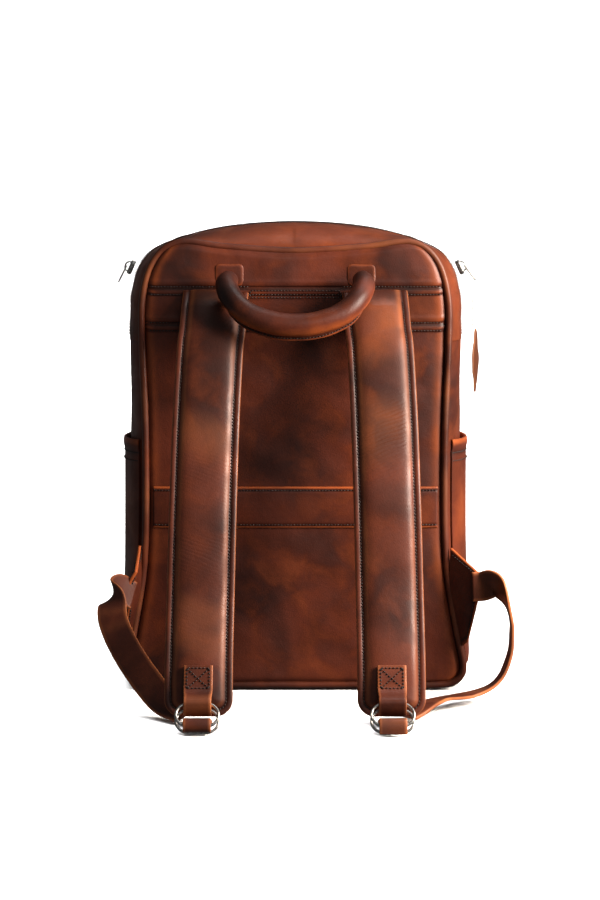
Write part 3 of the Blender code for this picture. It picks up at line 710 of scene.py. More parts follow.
class StitchSizes(bpy.types.PropertyGroup):
    """Thread and stitch sizes."""
    stitch_pitch: length("Stitch pitch", "Length of one stitch with its space", 0.0027)
    thread: length("Thread", "Thickness of the thread", 0.0010)


class BagSizes(bpy.types.PropertyGroup):
    """How the leather of the bag lies."""
    crown: length("Back crown", "How far the padded back swells out", 0.0026)
    sag: length("Side sag", "How far the unpadded sides sink and swell", 0.0016)
    groove: length("Seam groove", "Depth of the dent that a seam pulls in the leather", 0.0009)
    tooth: length("Tooth pitch", "Distance between neighbouring zip teeth of one row", 0.0028)


class StrapSizes(bpy.types.PropertyGroup):
    """Shape of the two shoulder straps."""
    width: length("Strap width", "Width of a shoulder strap", 0.056)
    rim: length("Rim", "Width of the flat rim outside the padding", 0.0062)
    rim_thick: length("Rim thickness", "Thickness of the two layers at the rim", 0.0042)
    pad: length("Padding", "Thickness of the strap over its padding", 0.0135)
    crease: length("Crease", "Depth of the fine creases across the padding", 0.00042)
    corner: length("Corner", "Radius of the two lower corners", 0.014)


# ------------------------------------------------------------------ panels of the back and front
def outline(first, last, count):
    """Points (x, z) of the panel's right edge between two ranks, at even steps."""
    fine = spline(PANEL_EDGE, np.linspace(first, last, 400), True)
    run = np.concatenate([[0], np.cumsum(np.linalg.norm(np.diff(fine, axis=0), axis=1))])
    want = np.linspace(0, run[-1], count)
    return np.stack([np.interp(want, run, fine[:, k]) for k in range(2)], -1)


def rank_at(z):
    """Rank of the panel's side edge at a height."""
    ranks = np.linspace(3, 11, 800)
    return float(np.interp(z, spline(PANEL_EDGE, ranks, True)[:, 1], ranks))


def patch(low, high, columns, rows, corner_low=2.6, corner_high=10.6):
    """Grid (x, z) over the panel between two heights, None for its real lower or upper edge.

    It is a Coons patch: lower plus upper edge, plus left plus right edge, less the flat quadrilateral
    of the four corners.
    """
    u, v = np.linspace(-1, 1, columns), np.linspace(0, 1, rows)
    first = corner_low if low is None else rank_at(low)
    last = corner_high if high is None else rank_at(high)
    right = outline(first, last, rows)
    left = right * (-1, 1)

    def across(level, rank, from_rank, to_rank):
        if level is not None:
            x = u * spline(PANEL_EDGE, np.array([rank]), True)[0, 0]
            return np.stack([x, np.full_like(x, level)], -1)
        half = outline(from_rank, to_rank, 200)
        half = half if half[0, 0] < half[-1, 0] else half[::-1]
        run = np.linspace(0, 1, 200)
        x, z = np.interp(np.abs(u), run, half[:, 0]), np.interp(np.abs(u), run, half[:, 1])
        return np.stack([np.sign(u) * x, z], -1)
    lower = across(low, first, 0, first)
    upper = across(high, last, last, TOP)
    U, V = (u[None, :, None] + 1) / 2, v[:, None, None]
    edges = (1 - V) * lower[None] + V * upper[None] + (1 - U) * left[:, None] + U * right[:, None]
    flat = (1 - V) * ((1 - U) * left[0] + U * right[0]) + V * ((1 - U) * left[-1] + U * right[-1])
    return edges - flat


def from_edges(grid):
    """Distance of each point of a grid to its left/right and to its lower and upper edges, in metres."""
    side = np.minimum(np.linalg.norm(grid - grid[:, :1], axis=-1),
                      np.linalg.norm(grid - grid[:, -1:], axis=-1))
    return side, np.linalg.norm(grid - grid[:1], axis=-1), np.linalg.norm(grid - grid[-1:], axis=-1)


def back_relief(x, z, sizes):
    """How far the back's face stands out of the frame's panel at (x, z), before seams.

    The padding swells between the piping, the load makes it sink a little in the middle, and soft
    dents a hand wide run over it.
    """
    side = np.clip(1 - np.abs(x) / (half_width(np.clip(z, 0.02, 0.37)) + 0.002), 0, 1)
    swell = sizes.crown * (1 - (1 - np.clip(side / 0.30, 0, 1)) ** 2.2)
    dents = 0.0007 * soft(np.stack([x, z], -1), 11, 0.16) + 0.0003 * soft(np.stack([x, z], -1), 5, 0.05)
    return swell + dents * np.clip(side * 6, 0, 1)


def panel_piece(name, low, high, lift, columns, rows, sizes, finish, sign=-1, corner=(2.6, 10.6),
                turned=(True, True)):
    """One leather panel of the back (sign -1) or front (+1), with its edges turned in at the seams.

    Its face is the frame's plane plus the relief plus its lift, less a rounded tuck 2 mm wide at the
    outer edge, and at the lower and upper seams where they are turned.
    """
    grid = patch(low, high, columns, rows, *corner)
    side, below, above = from_edges(grid)
    stand = back_relief(grid[..., 0], grid[..., 1], sizes) + lift
    tuck = 0.0022 * dip(side, 0.0024)
    for near, is_turned, plain in ((below, turned[0], low is None), (above, turned[1], high is None)):
        if plain:
            tuck = np.maximum(tuck, 0.0022 * dip(near, 0.0024))
        elif is_turned:
            tuck = np.maximum(tuck, (lift + 0.0016) * dip(near, 0.0013))
            stand = stand - sizes.groove * 0.7 * dip(near - 0.0021, 0.0009) \
                + 0.0004 * dip(near - 0.0060, 0.0020)
        else:
            # Under the seam lies a folded seam allowance: a flat ridge 5 mm wide.
            stand = stand + 0.0009 * np.exp(-((near - 0.0054) / 0.0023) ** 6)
    y = sign * (-BACK_Y + stand - tuck)
    # Lighter on the rounded outer edge and on turned folds: rubbed, and a painted highlight. Darker in the seam
    # grooves, along both sides of the folded allowance's ridge and at the edge under the piping: painted shade.
    wear = 0.25 * dip(side - 0.004, 0.004)
    for near, is_turned, plain in ((below, turned[0], low is None), (above, turned[1], high is None)):
        if not plain and is_turned:
            wear = wear + 0.30 * dip(near - 0.0006, 0.0009) - 0.5 * dip(near - 0.0021, 0.0009)
        elif not plain:
            wear = wear - 0.8 * dip(near - 0.0030, 0.0012) - 0.7 * dip(near - 0.0079, 0.0010)
    wear = wear - 0.5 * dip(side, 0.0012)
    away = grid - (0, 0.19)
    outer = np.minimum(side, np.minimum(above if high is None else side, below if low is None else side))
    grow = 1 + 0.0016 * dip(outer, 0.004) / np.linalg.norm(away, axis=-1)
    points = np.stack([grid[..., 0] * grow, y, 0.19 + away[..., 1] * grow], -1)
    obj = shell(name, points, 0.0016, finish, wear)
    return obj, grid, y


def seam_path(level, sizes, lift, x_from, x_to, sign=-1, count=120):
    """A level stitch line on the back's face between two x positions."""
    x = np.linspace(x_from, x_to, count)
    z = np.full_like(x, level)
    y = sign * (-BACK_Y + back_relief(x, z, sizes) + lift)
    return np.stack([x, y, z], -1), np.tile((0.0, sign, 0.0), (count, 1))


class BACKPACK_OT_back(bpy.types.Operator):
    """The back: yoke, strip, padded panel and the band that slips over a trolley handle"""
    bl_idname = "backpack.back"
    bl_label = "Back panels"

    def execute(self, context):
        s, thread = context.scene.backpack_bag, context.scene.backpack_stitch
        leather = finish_of("leather")
        made = [panel_piece("back_main_panel", None, STRIP_SEAM + 0.003, 0.0, 181, 221, s, leather,
                            turned=(0, 0))[0],
                panel_piece("back_seam_strip", STRIP_SEAM, YOKE_SEAM + 0.003, 0.0012, 181, 41, s, leather,
                            turned=(1, 0))[0],
                panel_piece("back_yoke_panel", YOKE_SEAM, None, 0.0026, 181, 61, s, leather,
                            turned=(1, 1))[0]]
        for obj, solid in zip(made, ("back_panel", "back_strip", "back_yoke")):
            placed(obj, "bag", "leather", solid)

        # The band lies on the panel and stands off it by its slack half way up, so a handle can pass.
        x, z = np.linspace(-0.1235, 0.1235, 161), np.linspace(BAND_LOW, BAND_HIGH, 41)
        z, x = np.meshgrid(z, x, indexing="ij")
        middle = 1 - (2 * (z - BAND_LOW) / (BAND_HIGH - BAND_LOW) - 1) ** 2
        end = np.clip((0.1235 - np.abs(x)) / 0.030, 0, 1)
        near = np.minimum(z - BAND_LOW, BAND_HIGH - z)
        stand = back_relief(x, z, s) + 0.0014 + 0.0009 * middle * end ** 0.5 \
            + 0.0003 * soft(np.stack([x, z], -1), 31, 0.06) * middle \
            - 0.0010 * dip(near, 0.0009) - s.groove * 0.6 * dip(near - 0.0032, 0.0010)
        # Lighter on the band's turned edges: rubbed, and a painted highlight; darker in the stitched grooves: painted
        # shade.
        wear = 0.7 * dip(near - 0.0008, 0.0012) - 0.45 * dip(near - 0.0032, 0.0010)
        band = shell("trolley_band_leather", np.stack([x, BACK_Y - stand, z], -1), 0.0013, leather, wear)
        placed(band, "bag", "leather", "trolley_band")

        rows = []
        for level, lift, ends in ((STRIP_SEAM + 0.0021, 0.0008, (0.0, 0.1255)),
                                  (YOKE_SEAM + 0.0021, 0.0022, (0.040, 0.1245)),
                                  (STRIP_SEAM - 0.0047, 0.0004, (0.0, 0.1255)),
                                  (YOKE_SEAM - 0.0047, 0.0014, (0.0, 0.1250))):
            if ends[0]:
                rows += [seam_path(level, s, lift, -ends[1], -ends[0]),
                         seam_path(level, s, lift, ends[0], ends[1])]
            else:
                rows.append(seam_path(level, s, lift, -ends[1], ends[1]))
        for level in (BAND_LOW + 0.0032, BAND_HIGH - 0.0032):
            rows.append(seam_path(level, s, 0.0014, -0.1225, 0.1225))
        # The box of stitches between the handle's ends that holds the handle's plate.
        low, high, half = YOKE_SEAM - 0.0072, YOKE_SEAM - 0.0012, 0.0385
        rows += [seam_path(low, s, 0.0020, -half, half), seam_path(high, s, 0.0020, -half, half)]
        for x_end in (-half, half):
            z_up = np.linspace(low, high, 12)
            y_up = BACK_Y - back_relief(np.full_like(z_up, x_end), z_up, s) - 0.0020
            rows.append((np.stack([np.full_like(z_up, x_end), y_up, z_up], -1),
                         np.tile((0, -1.0, 0), (12, 1))))
        stitches("back_stitching", rows, "bag", thread, finish_of("thread"))
        return {"FINISHED"}


class BACKPACK_OT_piping(bpy.types.Operator):
    """The two rolled welts round the bag, where panel and gusset meet"""
    bl_idname = "backpack.piping"
    bl_label = "Piping"

    def execute(self, context):
        for word, sign in (("back", -1), ("front", 1)):
            half = outline(0, TOP, 420)
            way = unit(np.gradient(half, axis=0))
            out = np.stack([way[:, 1], -way[:, 0]], -1)
            out[0], out[-1] = (0, -1), (0, 1)
            right = half + out * 0.0035
            loop = np.vstack([right, (right * (-1, 1))[::-1][1:-1]])
            out = np.vstack([out, (out * (-1, 1))[::-1][1:-1]])
            turn = np.linspace(0, 2 * math.pi, 16, endpoint=False)
            lumps = 1 + 0.05 * soft(loop * 1.0, 41, 0.03)
            radius = WELT * lumps
            centre = np.stack([loop[:, 0], np.full(len(loop), sign * -BACK_Y),
                               np.maximum(loop[:, 1], WELT * 1.06)], -1)
            way3 = np.stack([out[:, 0], np.zeros(len(out)), out[:, 1]], -1)
            spoke = way3[:, None] * np.cos(turn)[None, :, None] \
                + np.array([0, sign, 0.0]) * np.sin(turn)[None, :, None]
            grid = centre[:, None] + radius[:, None, None] * spoke
            # Lighter on the side facing away from the bag's middle: rubbed, and a painted highlight; random patches; a
            # little darker overall, and darker within 3 cm of the floor: painted shade.
            wear = 0.20 * np.clip(np.sin(turn), 0, 1)[None] * np.ones((len(loop), 1)) \
                + 0.28 * np.clip(soft(loop, 43, 0.09), -0.6, 1)[:, None] - 0.10 \
                - 0.45 * np.clip(1 - loop[:, 1] / 0.03, 0, 1)[:, None]
            obj = build(f"{word}_welt", grid, quads(len(loop), 16, True, True), finish_of("strap"),
                        wear.ravel())
            recalc(obj)
            placed(obj, "bag", "dark_leather", f"{word}_piping")
        return {"FINISHED"}


class BACKPACK_OT_walls(bpy.types.Operator):
    """Base, side gussets and the leather beside the zip, all round the depth of the bag"""
    bl_idname = "backpack.walls"
    bl_label = "Base and gussets"

    def execute(self, context):
        s, thread = context.scene.backpack_bag, context.scene.backpack_stitch
        depths = np.sin(np.linspace(-1, 1, 61) * math.pi / 2) * WALL_EDGE
        rows = []

        # Base: one piece of thicker leather that comes up the sides, its upper edge turned and stitched.
        ranks = np.linspace(0, BASE_END + 0.05, 131)
        near = (BASE_END + 0.05 - ranks)[:, None] * 0.018 * np.ones_like(depths)[None]
        sag = soft(np.stack(np.meshgrid(ranks * 0.02, depths, indexing="ij"), -1), 21, 0.05)
        proud = 0.0012 + 0.0004 * sag * np.clip(ranks - 2.5, 0, 1)[:, None] \
            - 0.0012 * dip(near, 0.0010) - 0.0007 * dip(near - 0.0035, 0.0012)
        left, right = wall_grid(-1, ranks, depths, proud), wall_grid(1, ranks, depths, proud)
        # Lighter on the turned upper edge (rubbed, and a painted highlight) and along the lower corner where it is
        # rubbed; darker in the stitched groove: painted shade.
        wear = 0.6 * dip(near - 0.001, 0.0015) - 0.4 * dip(near - 0.0035, 0.0012) \
            + 0.3 * dip((ranks - 3.35)[:, None] * 0.02, 0.006)
        base = shell("base_leather", np.concatenate([left[::-1], right[1:]]), WALL, finish_of("base"),
                     np.concatenate([wear[::-1], wear[1:]]))
        placed(base, "bag", "dark_leather", "base_panel")

        for word, sign in SIDES:
            ranks = np.linspace(BASE_END - 0.06, ZIP_END + 0.02, 201)
            r, y = np.meshgrid(ranks, depths, indexing="ij")
            across = 1 - (y / WALL_EDGE) ** 2
            dents = s.sag * across * (0.7 * soft(np.stack([r * 0.06, y], -1), 51 + sign, 0.16)
                                      + 0.3 * soft(np.stack([r * 0.06, y], -1), 57 + sign, 0.06))
            grid = wall_grid(sign, ranks, depths, dents - 0.0004 * np.clip((5 - r), 0, 1))
            wear = 0.35 * soft(np.stack([r * 0.06, y], -1), 61, 0.10) * across
            side = shell(f"side_gusset_{word}_leather", grid, WALL, finish_of("leather"), wear)
            placed(side, "bag", "leather", f"side_gusset_{word}")

        # Zip leather: two long strips over the top with their edge rolled beside the zip.
        for word, sign in (("back", -1), ("front", 1)):
            depth = sign * np.linspace(ZIP_HALF + 0.0004, WALL_EDGE, 45)
            near = np.abs(depth)[None] - ZIP_HALF
            rr = np.concatenate([np.linspace(ZIP_END, TOP, 200)[:-1], np.linspace(TOP, ZIP_END, 200)])
            mirror = np.concatenate([-np.ones(199), np.ones(200)])
            swell = 0.0008 * soft(np.stack([(rr * mirror)[:, None] * 0.06 + 0 * near,
                                            depth[None] + 0 * rr[:, None]], -1), 71 + sign, 0.10)
            fade = np.clip((WALL_EDGE - np.abs(depth)) / 0.01, 0, 1)[None]
            proud = swell * np.clip(near / 0.01, 0, 1) * fade \
                - 0.0011 * dip(near, 0.0009) - 0.0007 * dip(near - 0.0032, 0.0011)
            half = len(rr) // 2
            left = wall_grid(-1, rr[:half], depth, proud[:half])
            right = wall_grid(1, rr[half:], depth, proud[half:])
            # Lighter on the rolled edge beside the zip: rubbed, and a painted highlight; darker in the stitched
            # groove: painted shade.
            wear = 0.5 * dip(near - 0.0010, 0.0014) - 0.5 * dip(near - 0.0032, 0.0010) + 0.12 + 0 * proud
            strip = shell(f"zip_leather_{word}", np.concatenate([left, right]), WALL, finish_of("leather"),
                          wear)
            placed(strip, "bag", "leather", f"zip_strip_{word}")
            for inset in (0.0032, 0.0066):
                line = arch_grid(np.array([sign * (ZIP_HALF + inset)]), ZIP_END + 0.05, 160)[:, 0]
                rows.append((line, outwards(line)))
        stitches("zip_stitching", rows, "bag", thread, finish_of("thread"))
        return {"FINISHED"}


def outwards(line):
    """Normals of a line that runs over the bag from left to right: square to it, away from the inside."""
    way = unit(np.gradient(line, axis=0))
    return unit(np.stack([-way[:, 2], 0 * way[:, 0], way[:, 0]], -1))


class BACKPACK_OT_zip(bpy.types.Operator):
    """Main zip: woven tape, and two rows of metal teeth set between each other"""
    bl_idname = "backpack.zip"
    bl_label = "Main zip"

    def execute(self, context):
        s = context.scene.backpack_bag
        tape = shell("main_zip_tape", arch_grid(np.linspace(-ZIP_HALF - 0.004, ZIP_HALF + 0.004, 13),
                                                ZIP_END - 0.05, 220, -0.0022),
                     0.0008, finish_of("tape"))
        placed(tape, "bag", "zip_tape", "zip_tape")
        line = arch_grid(np.array([0.0]), ZIP_END + 0.03, 900, -0.0015)[:, 0]
        teeth = tooth_rows(line, outwards(line), s.tooth, (0, 1, 0))
        obj = build("main_zip_teeth", *teeth, finish_of("teeth"), smooth=False)
        placed(obj, "bag", "nickel", "zip_teeth")
        return {"FINISHED"}


def tooth_rows(line, normal, pitch, across):
    """Zip teeth along a line: blocks with a narrowed head, one row from each side, half a pitch apart."""
    run = np.concatenate([[0], np.cumsum(np.linalg.norm(np.diff(line, axis=0), axis=1))])
    across = np.array(across, float)
    count = int(run[-1] / pitch)
    where = (np.arange(2 * count) + 0.5) * pitch / 2
    side = np.where(np.arange(2 * count) % 2, 1.0, -1.0)

    def at(table):
        return np.stack([np.interp(where, run, table[:, k]) for k in range(3)], -1)
    p, n = at(line), unit(at(normal))
    t = unit(np.cross(across[None], n))
    # Three cross-sections from tape to head: (distance across, half length, half height).
    shape = np.array([(0.0031, 0.0008, 0.0007), (0.0006, 0.0008, 0.0007), (-0.0006, 0.00055, 0.0005)])
    corner = np.array([(-1, -1), (1, -1), (1, 1), (-1, 1)])
    pts = p[:, None, None] + (side[:, None, None] * shape[None, :, 0, None])[..., None] * across \
        + (corner[None, None, :, 0] * shape[None, :, 1, None])[..., None] * t[:, None, None] \
        + (corner[None, None, :, 1] * shape[None, :, 2, None] + 0.0004)[..., None] * n[:, None, None]
    cell = np.vstack([quads(3, 4, wrap_columns=True), [[3, 2, 1, 0]], [[8, 9, 10, 11]]])
    faces = cell[None] + (np.arange(len(where)) * 12)[:, None, None]
    # cells of one side are mirrored, so their order is turned round
    turned = np.cross(pts[:, 0, 1] - pts[:, 0, 0], pts[:, 0, 3] - pts[:, 0, 0])
    ahead = np.sum(turned * (pts[:, 1, 0] - pts[:, 0, 0]), -1) > 0
    faces = np.where(ahead[:, None, None], faces[..., ::-1], faces)
    return pts.reshape(-1, 3), faces.reshape(-1, 4)


# ------------------------------------------------------------------ pockets and front
class BACKPACK_OT_side_pockets(bpy.types.Operator):
    """The open pockets on both sides, standing off the gusset with a rolled hem at the mouth"""
    bl_idname = "backpack.side_pockets"
    bl_label = "Side pockets"

    def execute(self, context):
        thread, rows = context.scene.backpack_stitch, []
        top = float(np.interp(POCKET_HEM, spline(PANEL_EDGE, np.linspace(4, 8, 300), True)[:, 1],
                              np.linspace(4, 8, 300)))
        depths = np.sin(np.linspace(-1, 1, 61) * math.pi / 2) * (WALL_EDGE - 0.0035)
        ranks = np.linspace(BASE_END + 0.02, top, 171)
        rise = (ranks - ranks[0]) / (top - ranks[0])
        sides = 1 - (np.abs(depths) / (WALL_EDGE - 0.0035)) ** 2.6
        below = ((1 - rise) * (POCKET_HEM - 0.040))[:, None]
        for word, sign in SIDES:
            r, y = np.meshgrid(ranks, depths, indexing="ij")
            slump = 0.9 * soft(np.stack([r * 0.05, y], -1), 81 + sign, 0.11) * (rise ** 0.7)[:, None]
            proud = 0.0026 + (0.0036 + 0.0010 * slump) * (rise ** 0.6)[:, None] * sides[None] \
                + 0.0009 * dip(below - 0.0030, 0.0030) - 0.0006 * dip(below - 0.0075, 0.0011)
            grid = wall_grid(sign, r, y, proud)
            # The hem sags a little between the seams that hold its ends.
            slack = 0.6 + 0.4 * np.sin(y / WALL_EDGE * 2)
            grid[..., 2] -= 0.0035 * (rise ** 3)[:, None] * sides[None] * slack
            # Lighter on the hem's roll: rubbed, and a painted highlight; darker in the groove of the hem's stitching:
            # painted shade; random patches.
            wear = 0.7 * dip(below - 0.0012, 0.0022) - 0.5 * dip(below - 0.0075, 0.0011) \
                + 0.3 * soft(np.stack([r * 0.05, y], -1), 85, 0.09)
            pocket = shell(f"side_pocket_{word}_leather", grid, 0.0022, finish_of("leather"), wear)
            placed(pocket, "bag", "leather", f"side_pocket_{word}")
            for inset in (0.0075, 0.0112):
                k = int(np.argmin(np.abs(below[:, 0] - inset)))
                rows.append((grid[k], np.tile((sign * 1.0, 0, 0), (len(depths), 1))))
        stitches("side_pocket_stitching", rows, "bag", thread, finish_of("thread"))
        return {"FINISHED"}


def rounded_loop(half_x, low, high, radius, count):
    """Points (x, z) round a rectangle with round corners, from the middle of its right side."""
    turn = np.linspace(0, 2 * math.pi, count, endpoint=False)
    half_z, mid = (high - low) / 2, (high + low) / 2
    c, s = np.cos(turn), np.sin(turn)
    power = 0.5
    x, z = np.sign(c) * np.abs(c) ** power, np.sign(s) * np.abs(s) ** power
    k = 1 / np.maximum(np.abs(x), np.abs(z))
    x, z = x * k * half_x, z * k * half_z
    over = np.maximum(np.abs(x) - (half_x - radius), 0), np.maximum(np.abs(z) - (half_z - radius), 0)
    far = np.hypot(*over)
    pull = np.where((over[0] > 0) & (over[1] > 0), radius / np.maximum(far, 1e-9), 1.0)
    pull = np.minimum(pull, 1.0)
    x = np.sign(x) * (np.minimum(np.abs(x), half_x - radius) + over[0] * pull)
    z = np.sign(z) * (np.minimum(np.abs(z), half_z - radius) + over[1] * pull)
    return np.stack([x, z + mid], -1)


class BACKPACK_OT_front(bpy.types.Operator):
    """The front: its panel, and the zipped pocket that stands on it"""
    bl_idname = "backpack.front"
    bl_label = "Front and front pocket"

    def execute(self, context):
        s, thread = context.scene.backpack_bag, context.scene.backpack_stitch
        panel = panel_piece("front_face_leather", None, None, 0.0, 121, 161, s, finish_of("leather"), 1)[0]
        placed(panel, "bag", "leather", "front_panel")

        low, high, half, radius = 0.045, 0.240, 0.098, 0.022
        loop = rounded_loop(half, low, high, radius, 240)
        middle = np.array([0.0, (low + high) / 2])
        wall, face = 0.0640, 0.0836
        # Rings: up the pocket's wall, over its seam, then across its face to the middle.
        rings, heights = [], []
        for t in np.linspace(0, 1, 12):
            rings.append(0.0006 * math.sin(t * math.pi))
            heights.append(wall + (face - wall - 0.0014) * t)
        rings += [-0.0008, -0.0022, -0.0040, -0.0056]
        heights += [face - 0.0001, face + 0.0008, face + 0.0002, face + 0.0006]
        points = []
        for grow, y in zip(rings, heights):
            ring = middle + (loop - middle) * (1 + grow
                                               / np.linalg.norm(loop - middle, axis=1, keepdims=True))
            points.append(np.stack([ring[:, 0], np.full(len(ring), y), ring[:, 1]], -1))
        inner = points[-1]
        for t in np.linspace(0, 1, 34)[1:-1]:
            ring = np.stack([inner[:, 0] * (1 - t), 0 * inner[:, 0],
                             middle[1] + (inner[:, 2] - middle[1]) * (1 - t)], -1)
            swell = 0.0014 * (1 - (1 - t) ** 2) + 0.0006 * soft(ring[:, [0, 2]], 91, 0.07) * t ** 0.5
            zip_dent = -0.0006 * dip(ring[:, 2] - 0.220, 0.0045) * (np.abs(ring[:, 0]) < 0.078)
            ring[:, 1] = heights[-1] + swell + zip_dent
            points.append(ring)
        rows, count = len(points), len(loop)
        grid = np.array(points)
        faces = [list(q) for q in quads(rows, count, wrap_columns=True)]
        last = rows * count
        faces += [[last, (rows - 1) * count + j, (rows - 1) * count + (j + 1) % count] for j in range(count)]
        tip = grid[-1].mean(0) + (0, 0.0001, 0)
        # Lighter over the pocket's rolled seam: rubbed, and a painted highlight; darker on the stitched ring just
        # inside it: painted shade.
        edge = np.zeros((rows, count))
        edge[11:15] = np.array([0.4, 0.8, 0.6, -0.3])[:, None]
        obj = build("front_pocket_leather", np.vstack([grid.reshape(-1, 3), tip]), faces,
                    finish_of("leather"),
                    np.concatenate([edge.ravel(), [0]]), flip=True)
        wall_mod = obj.modifiers.new("thickness", "SOLIDIFY")
        wall_mod.thickness, wall_mod.offset, wall_mod.use_rim = 0.0018, -1.0, True
        placed(obj, "bag", "leather", "front_pocket")

        ring = np.vstack([grid[14], grid[14][:1]])
        line = np.stack([np.linspace(-0.072, 0.072, 200), np.full(200, face + 0.0024), np.full(200, 0.220)],
                        -1)
        up = np.tile((0.0, 1.0, 0.0), (200, 1))
        teeth = build("front_pocket_teeth", *tooth_rows(line, up, s.tooth, (0, 0, 1)), finish_of("teeth"),
                      smooth=False)
        x, z = np.meshgrid(np.linspace(-0.075, 0.075, 60), np.linspace(0.2135, 0.2265, 11))
        tape_y = face + 0.0021 + 0.0 * x
        tape = shell("front_pocket_tape", np.stack([x, tape_y, z], -1), 0.0008, finish_of("tape"))
        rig.replaces(teeth, "front_pocket_zip")
        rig.ride(teeth, "bag")
        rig.slot(teeth, "nickel")
        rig.ride(tape, "bag")
        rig.slot(tape, "zip_tape")
        lips = []
        for level in (0.2118, 0.2282):
            x = np.linspace(-0.077, 0.077, 90)
            lips.append((np.stack([x, np.full_like(x, face + 0.0022), np.full_like(x, level)], -1),
                         np.tile((0, 1.0, 0), (90, 1))))
        stitches("front_pocket_stitching", lips + [(ring, np.tile((0, 1.0, 0), (len(ring), 1)))], "bag",
                 thread, finish_of("thread"))
        return {"FINISHED"}


# ------------------------------------------------------------------ shoulder straps
def strap_grid(sizes, sign, face, columns=65, rows=420):
    """Centre, offsets, and the rubbing and painted light, of one face of a strap.

    e is the distance to the strap's outline, a rectangle whose lower corners are round. Within the
    rim the strap is rim_thick thick. Inside it a stitched groove is pressed in, then the padding
    rises as 1 - exp(-(e - rim) / 3.5 mm) to its full thickness. Fine creases cross the padding where
    the strap was bent: ridges every 2.3 to 4 mm, slanting, let through by a patchy field.
    """
    path = even(STRAP_ROUTE, rows)
    path[:, 0] *= sign
    run = np.concatenate([[0], np.cumsum(np.linalg.norm(np.diff(path, axis=0), axis=1))])
    whole = run[-1]
    half = sizes.width / 2
    left_over = whole - run
    r = sizes.corner
    narrow = np.where(left_over < r, r - np.sqrt(np.maximum(r * r - (r - left_over) ** 2, 0)), 0)
    u = np.linspace(-1, 1, columns)
    u = np.sign(u) * (1 - (1 - np.abs(u)) ** 1.35)          # more columns near the edges
    x = u[None] * np.maximum(half - narrow, 0.0008)[:, None]
    from_side = half - np.abs(x)
    from_end = left_over[:, None] + 0 * x
    corner = (from_side < r) & (from_end < r)
    e = np.where(corner, r - np.hypot(r - from_side, r - from_end), np.minimum(from_side, from_end))
    e = np.maximum(e, 0)
    rim, full = sizes.rim, sizes.pad / 2
    rise = 1 - np.exp(-np.maximum(e - rim, 0) / 0.0036)
    crown = 0.0011 * (1 - (x / half) ** 2)
    height = sizes.rim_thick / 2 + (full - sizes.rim_thick / 2 - 0.0011) * rise + crown * rise
    height = height - 0.0006 * dip(e - rim * 0.84, 0.0009) + 0.0003 * dip(e - rim * 0.40, 0.0016)
    s = run[:, None] + 0 * x
    where = np.stack([x * 0.6, s], -1)
    worked = dip(s - 0.125, 0.050) if sign > 0 else 0.35 * dip(s - 0.20, 0.08)
    patchy = np.clip(0.75 + soft(where, 101 + sign, 0.10), 0, 1.2) * worked
    slant = s + 0.35 * x * sign + 0.0012 * soft(where, 103 + sign, 0.03)
    ridges = np.sin(2 * math.pi * slant / 0.0034) * 0.5 \
        + np.sin(2 * math.pi * slant / 0.0023 + 5 * soft(where, 107, 0.04)) * 0.4
    height = height + sizes.crease * patchy * ridges * rise * face * (face > 0)
    height = height + 0.0005 * soft(where, 111 + sign, 0.07) * rise
    # The root thins where it goes under the yoke.
    root = np.clip(run / 0.020, 0, 1)[:, None]
    height = height * (0.42 + 0.58 * root)
    height = np.where(e <= 0.0, sizes.rim_thick / 2 * 0.72 * (0.42 + 0.58 * root), height)
    height = height - 0.0006 * dip(e, 0.0009)
    # Bright at the cut edge; lighter where the padding rises, rubbed and a painted highlight; darker in the stitched
    # groove, painted shade; and lighter and darker patches at random.
    wear = 0.60 * dip(e, 0.0006) - 0.55 * dip(e - rim * 0.84, 0.0008) + 0.26 * dip(e - rim - 0.0022, 0.0022) \
        + 0.22 * np.clip(soft(where, 121 + sign, 0.12), -0.5, 1) * rise \
        - 0.55 * np.clip(soft(where, 127 + 3 * sign, 0.20) - 0.25, 0, 1)
    return path, x, height, wear, e


